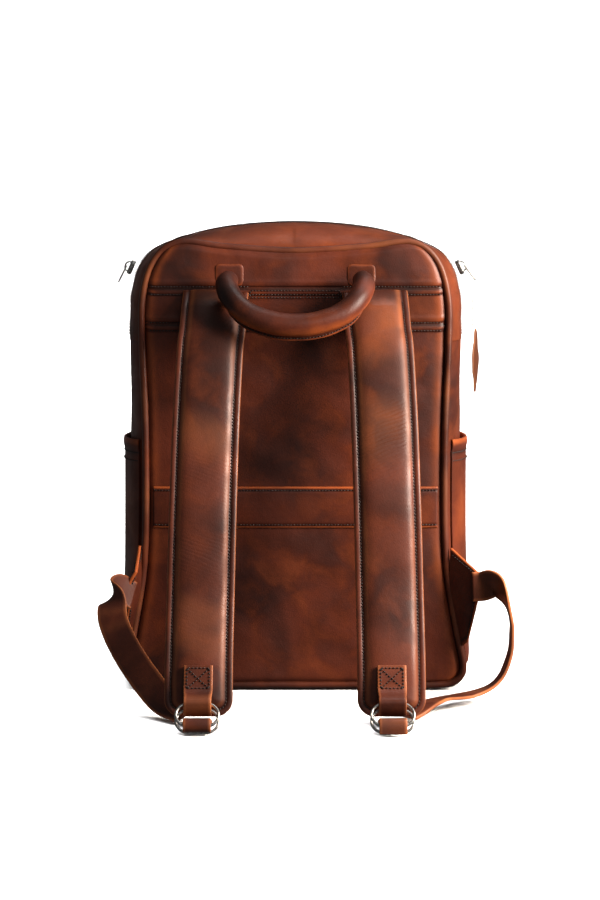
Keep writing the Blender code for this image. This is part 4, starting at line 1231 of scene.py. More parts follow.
class BACKPACK_OT_straps(bpy.types.Operator):
    """The two padded shoulder straps, sewn under the yoke and bending as cloth at their hinge"""
    bl_idname = "backpack.straps"
    bl_label = "Shoulder straps"

    def execute(self, context):
        s, thread = context.scene.backpack_strap, context.scene.backpack_stitch
        for word, sign in SIDES:
            path, x, top, wear = strap_grid(s, sign, 1)[:4]
            under = strap_grid(s, sign, -1)[2]
            across, out = frames(path, np.tile((1.0, 0, 0), (len(path), 1)))[1:]
            middle = path[:, None] + across[:, None] * x[..., None]
            face = middle - out[:, None] * -top[..., None] * self.way(out)
            back = middle + out[:, None] * -under[..., None] * self.way(out) * 0.92
            rows, columns = x.shape
            ring = np.concatenate([face, back[:, ::-1]], 1)
            points = ring.reshape(-1, 3)
            faces = [list(q) for q in quads(rows, 2 * columns, wrap_columns=True)]

            for row, turned in ((0, True), (rows - 1, False)):
                low = row * 2 * columns
                for j in range(columns - 1):
                    q = [low + j, low + j + 1, low + 2 * columns - 2 - j, low + 2 * columns - 1 - j]
                    faces.append(q[::-1] if turned else q)
            rub = np.concatenate([wear, wear[:, ::-1] * 0.5], 1)
            strap = build(f"shoulder_strap_{word}", points, faces, finish_of("strap"), rub.ravel())
            recalc(strap)
            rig.padded(strap, fill=0.6)
            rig.replaces(strap, f"strap_root_{word}", f"strap_face_{word}", f"strap_foam_{word}",
                        f"strap_lining_{word}")
            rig.slot(strap, "leather")
            hinge_bend(strap, word)

            # Stitches follow the groove round the padding, down one side, across and up the other.
            side_steps, corner_steps, end_steps = 300, 24, 40
            inset = s.rim * 0.84
            first = 14
            half = s.width / 2 - inset

            run = np.concatenate([[0], np.cumsum(np.linalg.norm(np.diff(path, axis=0), axis=1))])
            r = s.corner - inset
            last = run[-1] - inset
            down = np.linspace(run[first], last - r, side_steps)
            arc = np.linspace(0, math.pi / 2, corner_steps)
            xs = np.concatenate([np.full(side_steps, half), half - r + r * np.cos(arc),
                                 np.linspace(half - r, -(half - r), end_steps),
                                 -(half - r) - r * np.sin(arc), np.full(side_steps, -half)])
            ss = np.concatenate([down, last - r + r * np.sin(arc), np.full(end_steps, last),
                                 last - r + r * np.cos(arc), down[::-1]])
            index = np.interp(ss, run, np.arange(len(run)))
            low_i = np.clip(index.astype(int), 0, len(run) - 2)
            f = (index - low_i)[:, None]
            p = path[low_i] * (1 - f) + path[low_i + 1] * f
            o = unit(out[low_i] * (1 - f) + out[low_i + 1] * f) * self.way(out)
            root = np.clip(ss / 0.020, 0, 1) * 0.58 + 0.42
            h = (s.rim_thick / 2 - 0.0006) * root
            seam = p + np.array([1.0, 0, 0]) * xs[:, None] + o * h[:, None]
            sewn = stitches(f"strap_{word}_stitching", [(seam, o)], None, thread, finish_of("thread"))
            hinge_bend(sewn, word)
        return {"FINISHED"}

    @staticmethod
    def way(out):
        """1 where the frame's out already points away from the back, else -1."""
        return 1.0 if out[len(out) // 2][1] < 0 else -1.0


def recalc(obj):
    """Turn all faces of a closed mesh outwards."""
    made = bmesh.new()
    made.from_mesh(obj.data)
    bmesh.ops.remove_doubles(made, verts=made.verts, dist=1e-7)
    bmesh.ops.recalc_face_normals(made, faces=made.faces)
    made.to_mesh(obj.data)
    made.free()


def hinge_bend(obj, word):
    """Let a piece follow the bag above the strap's hinge and the strap below it, turning between."""
    at = spline(STRAP_ROUTE, np.array([1.9, 4.1]))
    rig.blend(obj, "bag", f"strap_{word}", start=tuple(at[0]), end=tuple(at[1]))


# ------------------------------------------------------------------ tabs, rings and lower straps
def flat_strap(name, centre, across, width, thickness, finish, bright=0.8, wide=None, waves=0.0, seed=1):
    """A flat leather strap along a path: rounded edges, rubbed at both sides, with a slight wave."""
    centre, across = np.array(centre, float), np.broadcast_to(np.array(across, float), np.shape(centre))
    _, _, out = frames(centre, across)
    if waves:
        centre = centre + out * (waves * soft(centre, seed, 0.05))[:, None]
    profile = rounded_bar(width, thickness)
    patch_wear = 0.35 * soft(np.repeat(centre[:, None], len(profile), 1), seed + 3, 0.05)
    obj = sweep(name, centre, across, profile, finish, edge_wear(profile, width, bright)[None] + patch_wear,
                wide)
    recalc(obj)
    return obj


class BACKPACK_OT_ring_tabs(bpy.types.Operator):
    """The tabs sewn on the strap ends with a crossed box, and their rings"""
    bl_idname = "backpack.ring_tabs"
    bl_label = "Ring tabs and rings"

    def execute(self, context):
        thread = context.scene.backpack_stitch
        steps = 90
        for word, sign in SIDES:
            body = f"strap_{word}"
            yz = even([(0.0, y, z) for y, z in TAB_ROUTE], steps)
            path = np.stack([np.full(steps, sign * RING_X), yz[:, 1], yz[:, 2]], -1)
            run = np.linspace(0, 1, steps)
            wide = 1 - 0.05 * np.clip((run - 0.42) / 0.12, 0, 1)
            tab = flat_strap(f"ring_tab_{word}_leather", path, (1.0, 0, 0), 0.0236, 0.0026,
                             finish_of("strap"), 0.9, wide, seed=7)
            placed(tab, body, "dark_leather", f"ring_tab_{word}")
            # The box of stitches, 18 mm square, and its two diagonals.
            out = frames(path, np.tile((1.0, 0, 0), (steps, 1)))[2]
            out = out * (1.0 if out[10][1] < 0 else -1.0)
            length_m = np.concatenate([[0], np.cumsum(np.linalg.norm(np.diff(path, axis=0), axis=1))])
            a, b, h = 0.0024, 0.0205, 0.0092

            def on_tab(across_m, down_m):
                p = np.stack([np.interp(down_m, length_m, path[:, k]) for k in range(3)], -1)
                o = np.stack([np.interp(down_m, length_m, out[:, k]) for k in range(3)], -1)
                return p + np.array([1.0, 0, 0]) * across_m[:, None] + o * 0.0013, o
            t = np.linspace(0, 1, 20)
            corners = [(-h, a), (h, a), (h, b), (-h, b), (-h, a)]
            rows = [on_tab(p[0] + (q[0] - p[0]) * t, p[1] + (q[1] - p[1]) * t)
                    for p, q in zip(corners, corners[1:])]
            rows += [on_tab(-h + 2 * h * t, a + (b - a) * t), on_tab(-h + 2 * h * t, b + (a - b) * t)]
            stitches(f"ring_tab_{word}_stitching", rows, body, thread, finish_of("thread"))

            for level, (y, z) in RINGS.items():
                bend, around, wire = 40, 14, 0.00128
                flat, turn = RING_LONG - RING_SHORT, np.linspace(-math.pi / 2, math.pi / 2, bend)
                u = np.concatenate([flat / 2 + RING_SHORT / 2 * np.cos(turn),
                                    -flat / 2 - RING_SHORT / 2 * np.cos(turn)])
                v = np.concatenate([RING_SHORT / 2 * np.sin(turn), -RING_SHORT / 2 * np.sin(turn)])
                centre = np.stack([sign * RING_X + u, y + v * math.cos(RING_TILT),
                                   z + v * math.sin(RING_TILT)], -1)
                axis = np.array([0.0, -math.sin(RING_TILT), math.cos(RING_TILT)])
                way = unit(np.roll(centre, -1, 0) - np.roll(centre, 1, 0))
                side = np.cross(axis, way)
                ring = np.linspace(0, 2 * math.pi, around, endpoint=False)
                pts = centre[:, None] + wire * (side[:, None] * np.cos(ring)[None, :, None]
                                                + axis * np.sin(ring)[None, :, None])
                obj = build(f"ring_{level}_{word}_wire", pts, quads(2 * bend, around, True, True),
                            finish_of("nickel"))
                recalc(obj)
                placed(obj, body, "nickel", f"ring_{level}_{word}")
        return {"FINISHED"}


THROUGH = [(-0.1925, 0.0030), (-0.2065, 0.0036), (-0.2210, 0.0078), (-0.2250, 0.0118), (-0.2295, 0.0127)]
ENDS = {"left": THROUGH + [(-0.2330, 0.0102), (-0.2331, 0.0060), (-0.2295, 0.0036), (-0.2262, 0.0050)],
        "right": THROUGH + [(-0.2333, 0.0095), (-0.2350, 0.0022)]}
LOOPS = {"left": [((0.1400, -0.0845, 0.0875), (0.15, 0.3, 1)),
                  ((0.1500, -0.0925, 0.0955), (-0.05, 0.45, 0.9)),
                  ((0.1550, -0.104, 0.0895), (-0.35, 0.55, 0.75)),
                  ((0.1545, -0.122, 0.0740), (-0.72, 0.4, 0.55)),
                  ((0.1420, -0.143, 0.0520), (-0.9, 0.1, 0.6)), ((0.1235, -0.1600, 0.0290), (-1, 0, 0.4)),
                  ((0.1080, -0.1720, 0.0140), (-1, 0.1, 0.2)), ((0.0900, -0.1860, 0.0060), (-1, 0.3, 0.1))],
         "right": [((0.1525, -0.0850, 0.0955), (0.1, 0, 1)), ((0.1610, -0.086, 0.0960), (0.1, 0, 1)),
                   ((0.1720, -0.093, 0.0985), (0.3, -0.6, 0.8)),
                   ((0.1820, -0.099, 0.0800), (0, -1, 0.2)), ((0.1855, -0.103, 0.0560), (0, -1, 0)),
                   ((0.1810, -0.107, 0.0320), (0, -1, 0)), ((0.1680, -0.112, 0.0150), (0, -1, 0.1)),
                   ((0.1460, -0.120, 0.0085), (0.2, -1, 0.1)), ((0.1200, -0.145, 0.0105), (0.6, -0.8, 0.2)),
                   ((0.1060, -0.1700, 0.0115), (1, -0.3, 0.1)), ((0.0900, -0.1860, 0.0060), (1, -0.3, 0.1))]}
WINGS = {"left": [(0.1355, 0.128, 0.1370, -0.0850, 0.1085), (0.1350, 0.098, 0.1440, -0.0845, 0.0965),
                  (0.1400, 0.068, 0.1440, -0.0830, 0.0840), (0.1470, 0.040, 0.1490, -0.0690, 0.0440)],
         "right": [(0.1355, 0.126, 0.1565, -0.0850, 0.1085), (0.1350, 0.098, 0.1585, -0.0850, 0.0965),
                   (0.1400, 0.068, 0.1575, -0.0840, 0.0840), (0.1470, 0.040, 0.1500, -0.0690, 0.0440)]}


class BACKPACK_OT_lower_straps(bpy.types.Operator):
    """The two lower straps from the side wings to the rings, and the wings they are sewn to"""
    bl_idname = "backpack.lower_straps"
    bl_label = "Lower straps and wings"

    def execute(self, context):
        thread = context.scene.backpack_stitch
        for word, sign in SIDES:
            loop = np.array([p for p, _ in LOOPS[word]])
            twist = np.array([a for _, a in LOOPS[word]], float)
            flip = np.array([sign, 1.0, 1.0])
            # Outside the ring the strap is a loop on the floor side; inside, it runs over both rings.
            fine = even(np.hstack([loop, twist * 0.02]), 150)
            path, across = fine[:, :3] * flip, fine[:, 3:] * flip
            lower = flat_strap(f"lower_strap_{word}_leather", path, across, 0.0254, 0.0027,
                               finish_of("strap"), 0.9, waves=0.0007, seed=131 + sign)
            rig.replaces(lower, f"lower_strap_{word}")
            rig.slot(lower, "leather")
            at = path[[len(path) * 3 // 5, -1]]
            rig.blend(lower, "bag", f"strap_{word}", start=tuple(at[0]), end=tuple(at[1]))

            tip_steps = 110
            yz = even([(0.0, y, z) for y, z in ENDS[word]], tip_steps)
            end = np.stack([np.full(tip_steps, sign * RING_X), yz[:, 1], yz[:, 2]], -1)
            tip = flat_strap(f"strap_end_{word}_leather", end, (1.0, 0, 0), 0.0225, 0.0024,
                             finish_of("strap"), 0.9, seed=141)
            placed(tip, f"strap_{word}", "leather", f"strap_end_{word}")

            # Wing: a ruled sheet from the seam in the gusset to the edge where the strap is sewn in,
            # pinched towards its outer edge and bellied between.
            table = np.array(WINGS[word])
            rank = np.linspace(0, 3, 60)
            seam = spline(np.stack([table[:, 0], np.full(4, -0.0645), table[:, 1]], -1), rank)
            outer = spline(table[:, 2:], rank)
            v = np.linspace(0, 1, 41)[None, :, None]
            grid = seam[:, None] * (1 - v) + outer[:, None] * v
            belly = np.sin(v[..., 0] * math.pi) * np.sin(np.clip(rank / 3, 0, 1) * math.pi)[:, None]
            normal = unit(np.cross(np.gradient(grid, axis=0), np.gradient(grid, axis=1)))
            grid = grid + normal * (0.0012 * belly + 0.0006 * belly * soft(grid, 151, 0.03))[..., None]
            grid[..., 0] *= sign
            # Bright at the cut edges; darker along the stitching 3.4 mm in: painted shade.
            edge = np.minimum(v[..., 0] * 0 + (1 - v[..., 0]) * 0.02,
                              np.minimum(rank, 3 - rank)[:, None] * 0.02)
            wear = 0.8 * dip(edge, 0.0012) - 0.3 * dip(edge - 0.0034, 0.0012)
            wing = shell(f"wing_{word}_leather", grid, 0.0026, finish_of("leather"), wear, offset=0.0)
            apply_all(wing)
            recalc(wing)
            placed(wing, "bag", "leather", f"wing_{word}")
            rows = []
            for k in (3, 56):
                line = grid[k, 3:-3]
                tilt = unit(normal[k, 3:-3] * flip)
                tilt = tilt * np.where(tilt[:, 1:2] > 0, -1.0, 1.0)
                rows.append((line + tilt * 0.0014, tilt))
            line = grid[4:-4, -6]
            tilt = unit(normal[4:-4, -6] * flip)
            tilt = tilt * np.where(tilt[:, 1:2] > 0, -1.0, 1.0)
            rows.append((line + tilt * 0.0014, tilt))
            stitches(f"wing_{word}_stitching", rows, "bag", thread, finish_of("thread"))
        return {"FINISHED"}


def apply_all(obj):
    """Bake an object's modifiers into its mesh."""
    bpy.context.view_layer.update()
    graph = bpy.context.evaluated_depsgraph_get()
    done = bpy.data.meshes.new_from_object(obj.evaluated_get(graph), depsgraph=graph)
    obj.modifiers.clear()
    obj.data = done


# ------------------------------------------------------------------ handle
class BACKPACK_OT_handle(bpy.types.Operator):
    """The rolled grab handle, its sewn fin, and the two plates it swings on"""
    bl_idname = "backpack.handle"
    bl_label = "Handle"

    def execute(self, context):
        thread = context.scene.backpack_stitch
        half = np.array(HANDLE_ROUTE)
        whole = np.vstack([half * (-1, 1, 1), half[::-1][1:]])
        rings, sides = 200, 36
        path = even(whole, rings)
        run = np.linspace(-1, 1, rings)
        turn = np.linspace(0, 2 * math.pi, sides, endpoint=False)
        along = unit(np.gradient(path, axis=0))
        # The fin points down and back from the roll; side is square to it and the path.
        down = np.array([0.0, 0.35, -1.0])
        down = unit(down - along * (along @ down)[:, None])
        side = np.cross(along, down)
        spread = 0.01 * np.stack([np.cos(turn), np.sin(turn), 0 * turn], -1)
        lumps = 1 + 0.03 * soft(np.repeat(path[:, None], sides, 1) + spread, 161, 0.03)
        radius = HANDLE_RADIUS * (1 - 0.16 * np.clip((np.abs(run) - 0.86) / 0.14, 0, 1) ** 2)[:, None] * lumps
        pinch = 1 + 0.10 * np.clip(np.cos(turn), 0, 1) ** 6
        spoke = down[:, None] * np.cos(turn)[None, :, None] + side[:, None] * np.sin(turn)[None, :, None]
        grid = path[:, None] + (radius * pinch)[..., None] * spoke
        points = np.vstack([grid.reshape(-1, 3), grid[0].mean(0), grid[-1].mean(0)])

        # A band on the side towards the fin is lighter, where a hand rubs it and as a painted highlight; the upper
        # side is darker; patches vary at random.
        wear = 0.50 * dip(np.cos(turn) - 0.55, 0.35)[None] + 0.35 * soft(grid, 163, 0.04) \
            - 0.55 * np.clip(-np.cos(turn), 0, 1)[None]
        grip = build("handle_roll", points, tipped(rings, sides), finish_of("leather"),
                     np.concatenate([wear.ravel(), [0, 0]]))
        recalc(grip)
        placed(grip, "handle", "leather", "handle_grip")

        mid = slice(16, 184)
        root = path[mid] + down[mid] * (HANDLE_RADIUS * 0.85)
        depth = 0.0046 * np.clip((1 - np.abs(run[mid])) / 0.14, 0.15, 1)[:, None]
        v = np.linspace(0, 1, 9)
        fin_grid = root[:, None] + down[mid][:, None] * (v[None, :, None] * (depth[:, None] + 0.0014)) \
            + side[mid][:, None] * (0.0004 * soft(root * 1.0, 171, 0.03))[:, None, None]
        near = (1 - v)[None] * depth
        # Bright at the fin's cut edge; darker 2.8 mm in, towards the roll: painted shade.
        fin = shell("handle_seam", fin_grid, 0.0026, finish_of("leather"),
                    0.45 * dip(near, 0.0008) - 0.4 * dip(near - 0.0028, 0.0009), offset=0.0)
        apply_all(fin)
        recalc(fin)
        placed(fin, "handle", "leather", "handle_fin")
        rows = []
        for way in (-1, 1):
            rows.append((fin_grid[:, 5] + side[mid] * way * 0.0014, side[mid] * way))
        stitches("handle_stitching", rows, "handle", thread, finish_of("thread"))

        corners = 64
        for word, _ in SIDES:
            low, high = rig.box(f"handle_tab_{word}")
            edge = 0.0004                                      # clear of the solid's own edge
            loop = rounded_loop((high.x - low.x) / 2 - edge, low.z + edge, high.z - edge, 0.004, corners)
            centre_x, mid_z = (low.x + high.x) / 2, (low.z + high.z) / 2
            layers = [(0.0, high.y - 0.0002), (0.0, low.y + 0.0012), (0.0006, low.y + 0.0004),
                      (0.0016, low.y), (0.0040, low.y - 0.0001)]
            pts, wear = [], []
            for inset, y in layers:
                away = loop - (0, mid_z)
                ring = away * (1 - inset / np.linalg.norm(away, axis=1, keepdims=True))
                pts.append(np.stack([centre_x + ring[:, 0], np.full(corners, y), mid_z + ring[:, 1]], -1))
                # The plate's face is darker: painted shade where the handle's ends go into the yoke; its rim is a
                # little lighter, rubbed.
                wear.append(np.full(corners, 0.15 if inset < 0.002 else -0.25))
            pts.append(pts[-1] * (0.4, 1, 0.4) + np.array([centre_x, 0, mid_z]) * (0.6, 0, 0.6))
            wear.append(np.zeros(corners))
            plate = build(f"handle_plate_{word}", np.array(pts), capped(len(pts), corners),
                          finish_of("leather"), np.array(wear).ravel())
            recalc(plate)
            placed(plate, "bag", "leather", f"handle_tab_{word}")
        return {"FINISHED"}


# ------------------------------------------------------------------ zip hardware, chain and tag
def chamfered(name, loops, finish, body, solid, slot="nickel"):
    """A small closed form from a stack of rings, both ends filled: (ring points, ...) as one array."""
    grid = np.array(loops)
    obj = build(name, grid, capped(*grid.shape[:2]), finish)
    recalc(obj)
    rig.ride(obj, body)
    if solid:
        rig.replaces(obj, solid)
    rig.slot(obj, slot)
    return obj


def lug(low, high, axis, shrink, count=40, power=0.42):
    """Rings that fill a box with a pillow shape: rounded rectangles along an axis, smaller at its ends."""
    low, high = np.array(low), np.array(high)
    others = [k for k in range(3) if k != axis]
    turn = np.linspace(0, 2 * math.pi, count, endpoint=False)
    c, s = np.cos(turn), np.sin(turn)
    a, b = np.sign(c) * np.abs(c) ** power, np.sign(s) * np.abs(s) ** power
    rings = []
    for t, k in shrink:
        ring = np.zeros((count, 3))
        ring[:, axis] = low[axis] + (high[axis] - low[axis]) * t
        for o, w in zip(others, (a, b)):
            ring[:, o] = (low[o] + high[o]) / 2 + (high[o] - low[o]) / 2 * k * w
        rings.append(ring)
    return rings


PILLOW = [(0.0, 0.80), (0.03, 0.90), (0.12, 0.98), (0.3, 1.0), (0.7, 1.0), (0.88, 0.98), (0.97, 0.90),
          (1.0, 0.80)]


def pull_loop(width, tall, thick):
    """A flat zip pull hung from the origin down -z: wide below, with a long eye, as rings round its rim.

    The outline is a superellipse across y and z that narrows upwards; x is its thickness.
    """
    turn = np.linspace(0, 2 * math.pi, 56, endpoint=False)
    c, s = np.cos(turn), np.sin(turn)
    rings = []
    for grow, t in ((0.90, -1), (1.0, -0.5), (1.0, 0.5), (0.90, 1), (0.64, 1), (0.54, 0.5), (0.54, -0.5),
                    (0.64, -1)):
        y = width / 2 * grow * np.sign(s) * np.abs(s) ** 0.7 * (0.82 - 0.18 * c)
        z = tall / 2 * (1 - (1 - grow) * 0.45) * np.sign(c) * np.abs(c) ** 0.8 - tall / 2
        rings.append(np.stack([np.full(56, thick / 2 * t), y, z], -1))
    return np.array(rings)


def swung(points, angle, place, sign=1):
    """Turn points about y so that what hung down leans out by the angle, mirror them, and move them."""
    x = points[..., 0] * math.cos(angle) - points[..., 2] * math.sin(angle)
    z = points[..., 0] * math.sin(angle) + points[..., 2] * math.cos(angle)
    return np.stack([sign * x, points[..., 1], z], -1) + np.array(place, float)


def metal_ring(name, rings, body, solid):
    """A closed ring of rings in nickel, riding on a body and standing for a solid."""
    obj = build(name, rings, quads(*rings.shape[:2], True, True), finish_of("nickel"))
    recalc(obj)
    placed(obj, body, "nickel", solid)


class BACKPACK_OT_hardware(bpy.types.Operator):
    """Zip sliders and pulls, the ball chain on the right one, and the leather tag that it holds"""
    bl_idname = "backpack.hardware"
    bl_label = "Sliders, chain and tag"

    def execute(self, context):
        metal = finish_of("nickel")
        pivots = {j["name"]: j.get("pos_m") for j in frame["joints"]}
        turn6, turn8 = (np.linspace(0, 2 * math.pi, count, endpoint=False) for count in (6, 8))
        for word, sign in SIDES:
            low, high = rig.box(f"zip_slider_{word}")
            body = np.array(lug((-0.0023, -0.005, -0.0065), (0.0023, 0.005, 0.0065), 2, PILLOW))
            body[..., 1] *= 1 - 0.22 * np.clip(-body[..., 2] / 0.0065, 0, 1)      # narrow towards its tail
            chamfered(f"slider_{word}_body", swung(body, SLIDER_LEAN, (low + high) / 2, sign), metal,
                      f"slider_{word}", f"zip_slider_{word}")
            metal_ring(f"pull_{word}_eye", swung(pull_loop(0.008, 0.017, 0.0016), PULL_HANG[word],
                                                 pivots[f"pull_{word}_swing"], sign),
                       f"pull_{word}", f"zip_pull_{word}")
            # The bridge on the slider that the pull hangs in.
            bow = np.linspace(0, math.pi, 16)
            arch = swung(np.stack([0.0023 + 0.0034 * np.sin(bow), 0 * bow, 0.0042 * np.cos(bow)], -1),
                         SLIDER_LEAN, (low + high) / 2, sign)
            bridge = sweep(f"slider_{word}_bridge", arch, np.tile((0, 1.0, 0), (16, 1)),
                           0.0009 * np.stack([np.cos(turn8), np.sin(turn8)], -1), metal)
            recalc(bridge)
            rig.ride(bridge, f"slider_{word}")
            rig.slot(bridge, "nickel")
        low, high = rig.box("pocket_slider")
        chamfered("pocket_slider_body", lug(low, high, 0, PILLOW), metal, "pocket_slider", "pocket_slider")
        eye = pull_loop(0.007, 0.017, 0.0016)[..., [1, 0, 2]]
        low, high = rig.box("pocket_pull")
        metal_ring("pocket_pull_eye", eye + ((low.x + high.x) / 2, (low.y + high.y) / 2, high.z),
                   "pocket_pull", "pocket_pull")

        # Ball chain: two strands of 1.6 mm balls, 2.1 mm from one to the next, on a thin wire.
        fall, bend, pitch = 60, 30, 0.0021
        apart = 0.0036                                         # half the strands' distance
        low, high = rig.box("ball_chain")
        x = (low.x + high.x) / 2
        half, r = (high.y - low.y) / 2 - 0.0008, 0.00078
        turn = np.linspace(math.pi, 0, bend)
        down = np.linspace(0, 1, fall)
        top_z, low_z = high.z - r - half, low.z + r
        strand = np.vstack([
            np.stack([np.full(fall, x - apart), np.full(fall, -half * 0.55) - half * 0.45 * down,
                      low_z + (top_z - low_z) * down], -1),
            np.stack([x + apart * np.cos(turn), half * np.cos(turn), top_z + half * np.sin(turn)], -1),
            np.stack([np.full(fall, x + apart), half - half * 0.45 * down, top_z + (low_z - top_z) * down],
                     -1)])
        run = np.concatenate([[0], np.cumsum(np.linalg.norm(np.diff(strand, axis=0), axis=1))])
        where = np.arange(int(run[-1] / pitch)) * pitch + 0.0005
        centre = np.stack([np.interp(where, run, strand[:, k]) for k in range(3)], -1)
        lats, lons = 6, 8
        lat, lon = np.meshgrid(np.linspace(0.0, math.pi, lats),
                               np.linspace(0, 2 * math.pi, lons, endpoint=False), indexing="ij")
        ball = r * np.stack([np.sin(lat) * np.cos(lon), np.sin(lat) * np.sin(lon), np.cos(lat)],
                            -1).reshape(-1, 3)
        cell = quads(lats, lons, wrap_columns=True)
        cells = (cell[None] + (np.arange(len(centre)) * lats * lons)[:, None, None]).reshape(-1, 4)
        balls = build("ball_chain_beads", centre[:, None] + ball[None], cells, metal, flip=True)
        recalc(balls)
        placed(balls, "chain", "nickel", "ball_chain")
        wire = sweep("ball_chain_wire", strand[::3], np.tile((1.0, 0, 0), (len(strand[::3]), 1)),
                     0.00028 * np.stack([np.cos(turn6), np.sin(turn6)], -1), metal)
        recalc(wire)
        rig.ride(wire, "chain")
        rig.slot(wire, "nickel")

        # Tag: a scrap of hide with an uneven cut outline, slightly cupped.
        low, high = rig.box("leather_tag")
        mid = (np.array(low) + np.array(high)) / 2
        half_y, half_z = (high.y - low.y) / 2 / math.cos(TAG_TURN) - 0.0006, (high.z - low.z) / 2 - 0.0003
        corners = 128
        t = np.linspace(0, 2 * math.pi, corners, endpoint=False)
        reach = (1 + 0.10 * np.cos(4 * t + 0.6) + 0.05 * np.cos(7 * t)) * (1 + 0.012 * np.cos(23 * t))
        y, z = reach * np.cos(t), reach * np.sin(t)
        y, z = y / np.abs(y).max() * half_y, z / np.abs(z).max() * half_z
        rings, wear = [], []
        for k, x_off in ((0.0, -0.8), (0.5, -0.85), (0.9, -0.9), (0.98, -0.7), (1.0, 0.0), (0.98, 0.7),
                         (0.9, 0.9), (0.5, 0.85), (0.0, 0.8)):
            cup = -0.0006 * k * k + 0.0004 * soft(np.stack([y * k, z * k], -1), 181, 0.03)
            u, w = x_off * 0.00095 + cup, y * max(k, 1e-3)
            rings.append(np.stack([mid[0] + u * math.cos(TAG_TURN) + w * math.sin(TAG_TURN),
                                   mid[1] - u * math.sin(TAG_TURN) + w * math.cos(TAG_TURN),
                                   mid[2] + z * max(k, 1e-3)], -1))
            wear.append(np.full(corners, 0.8 if k > 0.95 else 0.0))
        tag = build("hide_tag", np.array(rings), quads(9, corners, wrap_columns=True), finish_of("tag"),
                    np.concatenate(wear))
        recalc(tag)
        placed(tag, "tag", "tag_leather", "leather_tag")
        return {"FINISHED"}


class BACKPACK_OT_inside(bpy.types.Operator):
    """What is inside: the foam behind the back, the padded laptop sleeve and the board in the base"""
    bl_idname = "backpack.inside"
    bl_label = "Inside"

    def execute(self, context):
        for name, solid, finish, fill in (("back_padding", "back_foam", "foam", 0.7),
                                          ("laptop_sleeve_pad", "laptop_sleeve", "lining", 0.6),
                                          ("base_stiffener", "base_board", "board", None)):
            low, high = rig.box(solid)
            axis = 2 if fill is None else 1
            steps = [(0.0, 0.93), (0.10, 0.975), (0.3, 1.0), (0.7, 1.0), (0.90, 0.975), (1.0, 0.93)]
            rings = lug(low, high, axis, steps, 120, 0.16)
            obj = chamfered(name, rings, finish_of(finish), "bag", solid, finish)
            if fill is not None:
                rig.padded(obj, fill=fill)
        return {"FINISHED"}


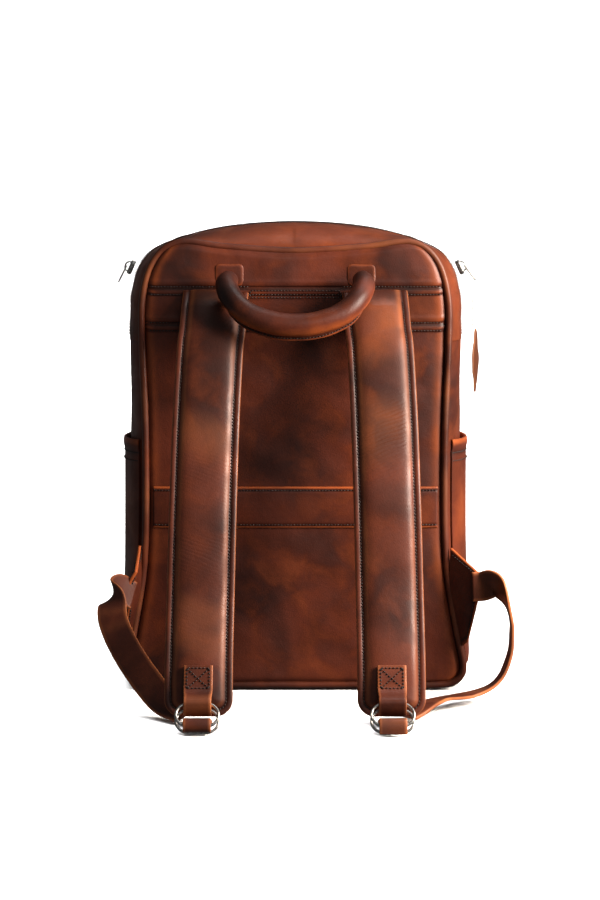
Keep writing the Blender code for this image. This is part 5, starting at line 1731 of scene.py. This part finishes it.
# ------------------------------------------------------------------ stage
class BACKPACK_OT_stage(bpy.types.Operator):
    """Pale floor that curves up behind the bag, soft lights and the camera"""
    bl_idname = "backpack.stage"
    bl_label = "Stage"

    def execute(self, context):
        made, tree, shader, place = start("painted_paper_sweep")
        # Matt background paper: nearly even, with a tooth too fine to see and a slight mottle.
        mottle = noise(tree, place, 3, 3)
        tree.links.new(mix(tree, mottle, "fbfbfb", "ffffff"), shader.inputs["Base Color"])
        shader.inputs["Roughness"].default_value = 0.95
        shader.inputs["Specular IOR Level"].default_value = 0.1
        bumps(tree, shader, (noise(tree, place, 900, 3), 0.05, 0.0003))
        depth = np.array([-6.0, -2, 0, 1.2] + list(1.2 + 1.4 * np.sin(np.linspace(0.1, math.pi / 2, 14)))
                         + [2.6])
        rise = np.array([0.0, 0, 0, 0] + list(1.4 - 1.4 * np.cos(np.linspace(0.1, math.pi / 2, 14))) + [6.0])
        x = np.linspace(-5, 5, 9)
        grid = np.stack(np.broadcast_arrays(x[None], depth[:, None], rise[:, None] - 0.0003), -1)
        sweep_obj = build("paper_sweep", grid, quads(*grid.shape[:2]), made)
        # The paper is whiter than a room, so it stays out of the leather's sheen and doesn't light it.
        sweep_obj.visible_glossy = sweep_obj.visible_diffuse = False
        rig.stage(sweep_obj)

        def area(name, where, at, size, power, tint):
            data = bpy.data.lights.new(name, "AREA")
            data.shape, data.size, data.size_y = "RECTANGLE", size[0], size[1]
            data.energy, data.color = power, srgb(tint)[:3]
            lamp = bpy.data.objects.new(name, data)
            lamp.location = where
            lamp.rotation_euler = (Vector(at) - Vector(where)).to_track_quat("-Z", "Y").to_euler()
            bpy.context.scene.collection.objects.link(lamp)
            return lamp
        area("key_softbox", (0.84, -0.50, 0.62), (0.06, 0, 0.27), (0.45, 0.6), 32, "fff1e4")
        area("top_softbox", (0.45, 0.1, 1.6), (0, 0, 0.2), (0.8, 0.8), 6, "ffffff")
        area("front_fill", (0.9, -3.0, 1.6), (0, 0, 0.2), (1.2, 1.2), 9, "fbfcff")
        # These two shine on the paper alone, so that it can be white round a dark bag.
        paper_only = bpy.data.collections.new("paper_only")
        paper_only.objects.link(sweep_obj)
        for lamp in (area("paper_light", (0.0, 0.2, 3.0), (0, 2.9, 0.6), (4.0, 1.2), 260, "ffffff"),
                     area("floor_light", (0.0, -0.4, 4.0), (0, -0.1, 0.0), (5.0, 5.0), 260, "ffffff")):
            lamp.light_linking.receiver_collection = paper_only
        world = bpy.data.worlds.new("soft_room")
        world.use_nodes = True
        world.node_tree.nodes["Background"].inputs["Color"].default_value = (1, 1, 1, 1)
        seen = node(world.node_tree, "ShaderNodeLightPath").outputs["Is Camera Ray"]
        dim = maths(world.node_tree, "MULTIPLY_ADD", seen, 0.8)
        dim.node.inputs[2].default_value = 0.10                # white behind the bag, a dim room all round it
        world.node_tree.links.new(dim, world.node_tree.nodes["Background"].inputs["Strength"])
        context.scene.world = world

        data = bpy.data.cameras.new("camera")
        data.lens, data.sensor_width, data.sensor_fit = 93.1, 36.0, "VERTICAL"
        data.sensor_height = 36.0
        eye = bpy.data.objects.new("camera", data)
        eye.location = (0.004, -2.0625, 0.45)
        eye.rotation_euler = (math.radians(90 - 6.8), 0, 0)
        context.scene.collection.objects.link(eye)
        context.scene.camera = eye
        context.scene.view_settings.view_transform = "Standard"
        context.scene.view_settings.exposure = 0.0
        return {"FINISHED"}


STEPS = ("finishes", "stage", "back", "piping", "walls", "zip", "side_pockets", "front", "straps",
         "ring_tabs",
         "lower_straps", "handle", "hardware", "inside")


class BACKPACK_PT_panel(bpy.types.Panel):
    """Lists the pieces of the backpack in the 3D view's sidebar"""
    bl_idname = "BACKPACK_PT_panel"
    bl_label = "Leather backpack"
    bl_space_type = "VIEW_3D"
    bl_region_type = "UI"
    bl_category = "Backpack"

    def draw(self, context):
        for group in ("backpack_bag", "backpack_strap", "backpack_stitch", "backpack_finish"):
            box = self.layout.box()
            values = getattr(context.scene, group)
            for key in values.__annotations__:
                box.prop(values, key)
        for step in STEPS:
            self.layout.operator(f"backpack.{step}")


GROUPS = {"backpack_finish": FinishSizes, "backpack_stitch": StitchSizes, "backpack_bag": BagSizes,
          "backpack_strap": StrapSizes}
CLASSES = tuple(GROUPS.values()) + tuple(
    made for made in list(globals().values())
    if isinstance(made, type) and issubclass(made, bpy.types.Operator)) + (BACKPACK_PT_panel,)


def register():
    for made in CLASSES:
        bpy.utils.register_class(made)
    for name, group in GROUPS.items():
        setattr(bpy.types.Scene, name, bpy.props.PointerProperty(type=group))


def unregister():
    for name in GROUPS:
        delattr(bpy.types.Scene, name)
    for made in reversed(CLASSES):
        bpy.utils.unregister_class(made)


def main():
    register()
    for step in STEPS:
        if getattr(bpy.ops.backpack, step)() != {"FINISHED"}:
            raise RuntimeError(f"{step} didn't finish")
    visual_box = [list(corner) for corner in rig.bounds()]
    with open("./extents.json", "w") as out:
        json.dump({"cad": CAD_BOX, "visual": visual_box}, out)


if __name__ == "__main__":
    main()
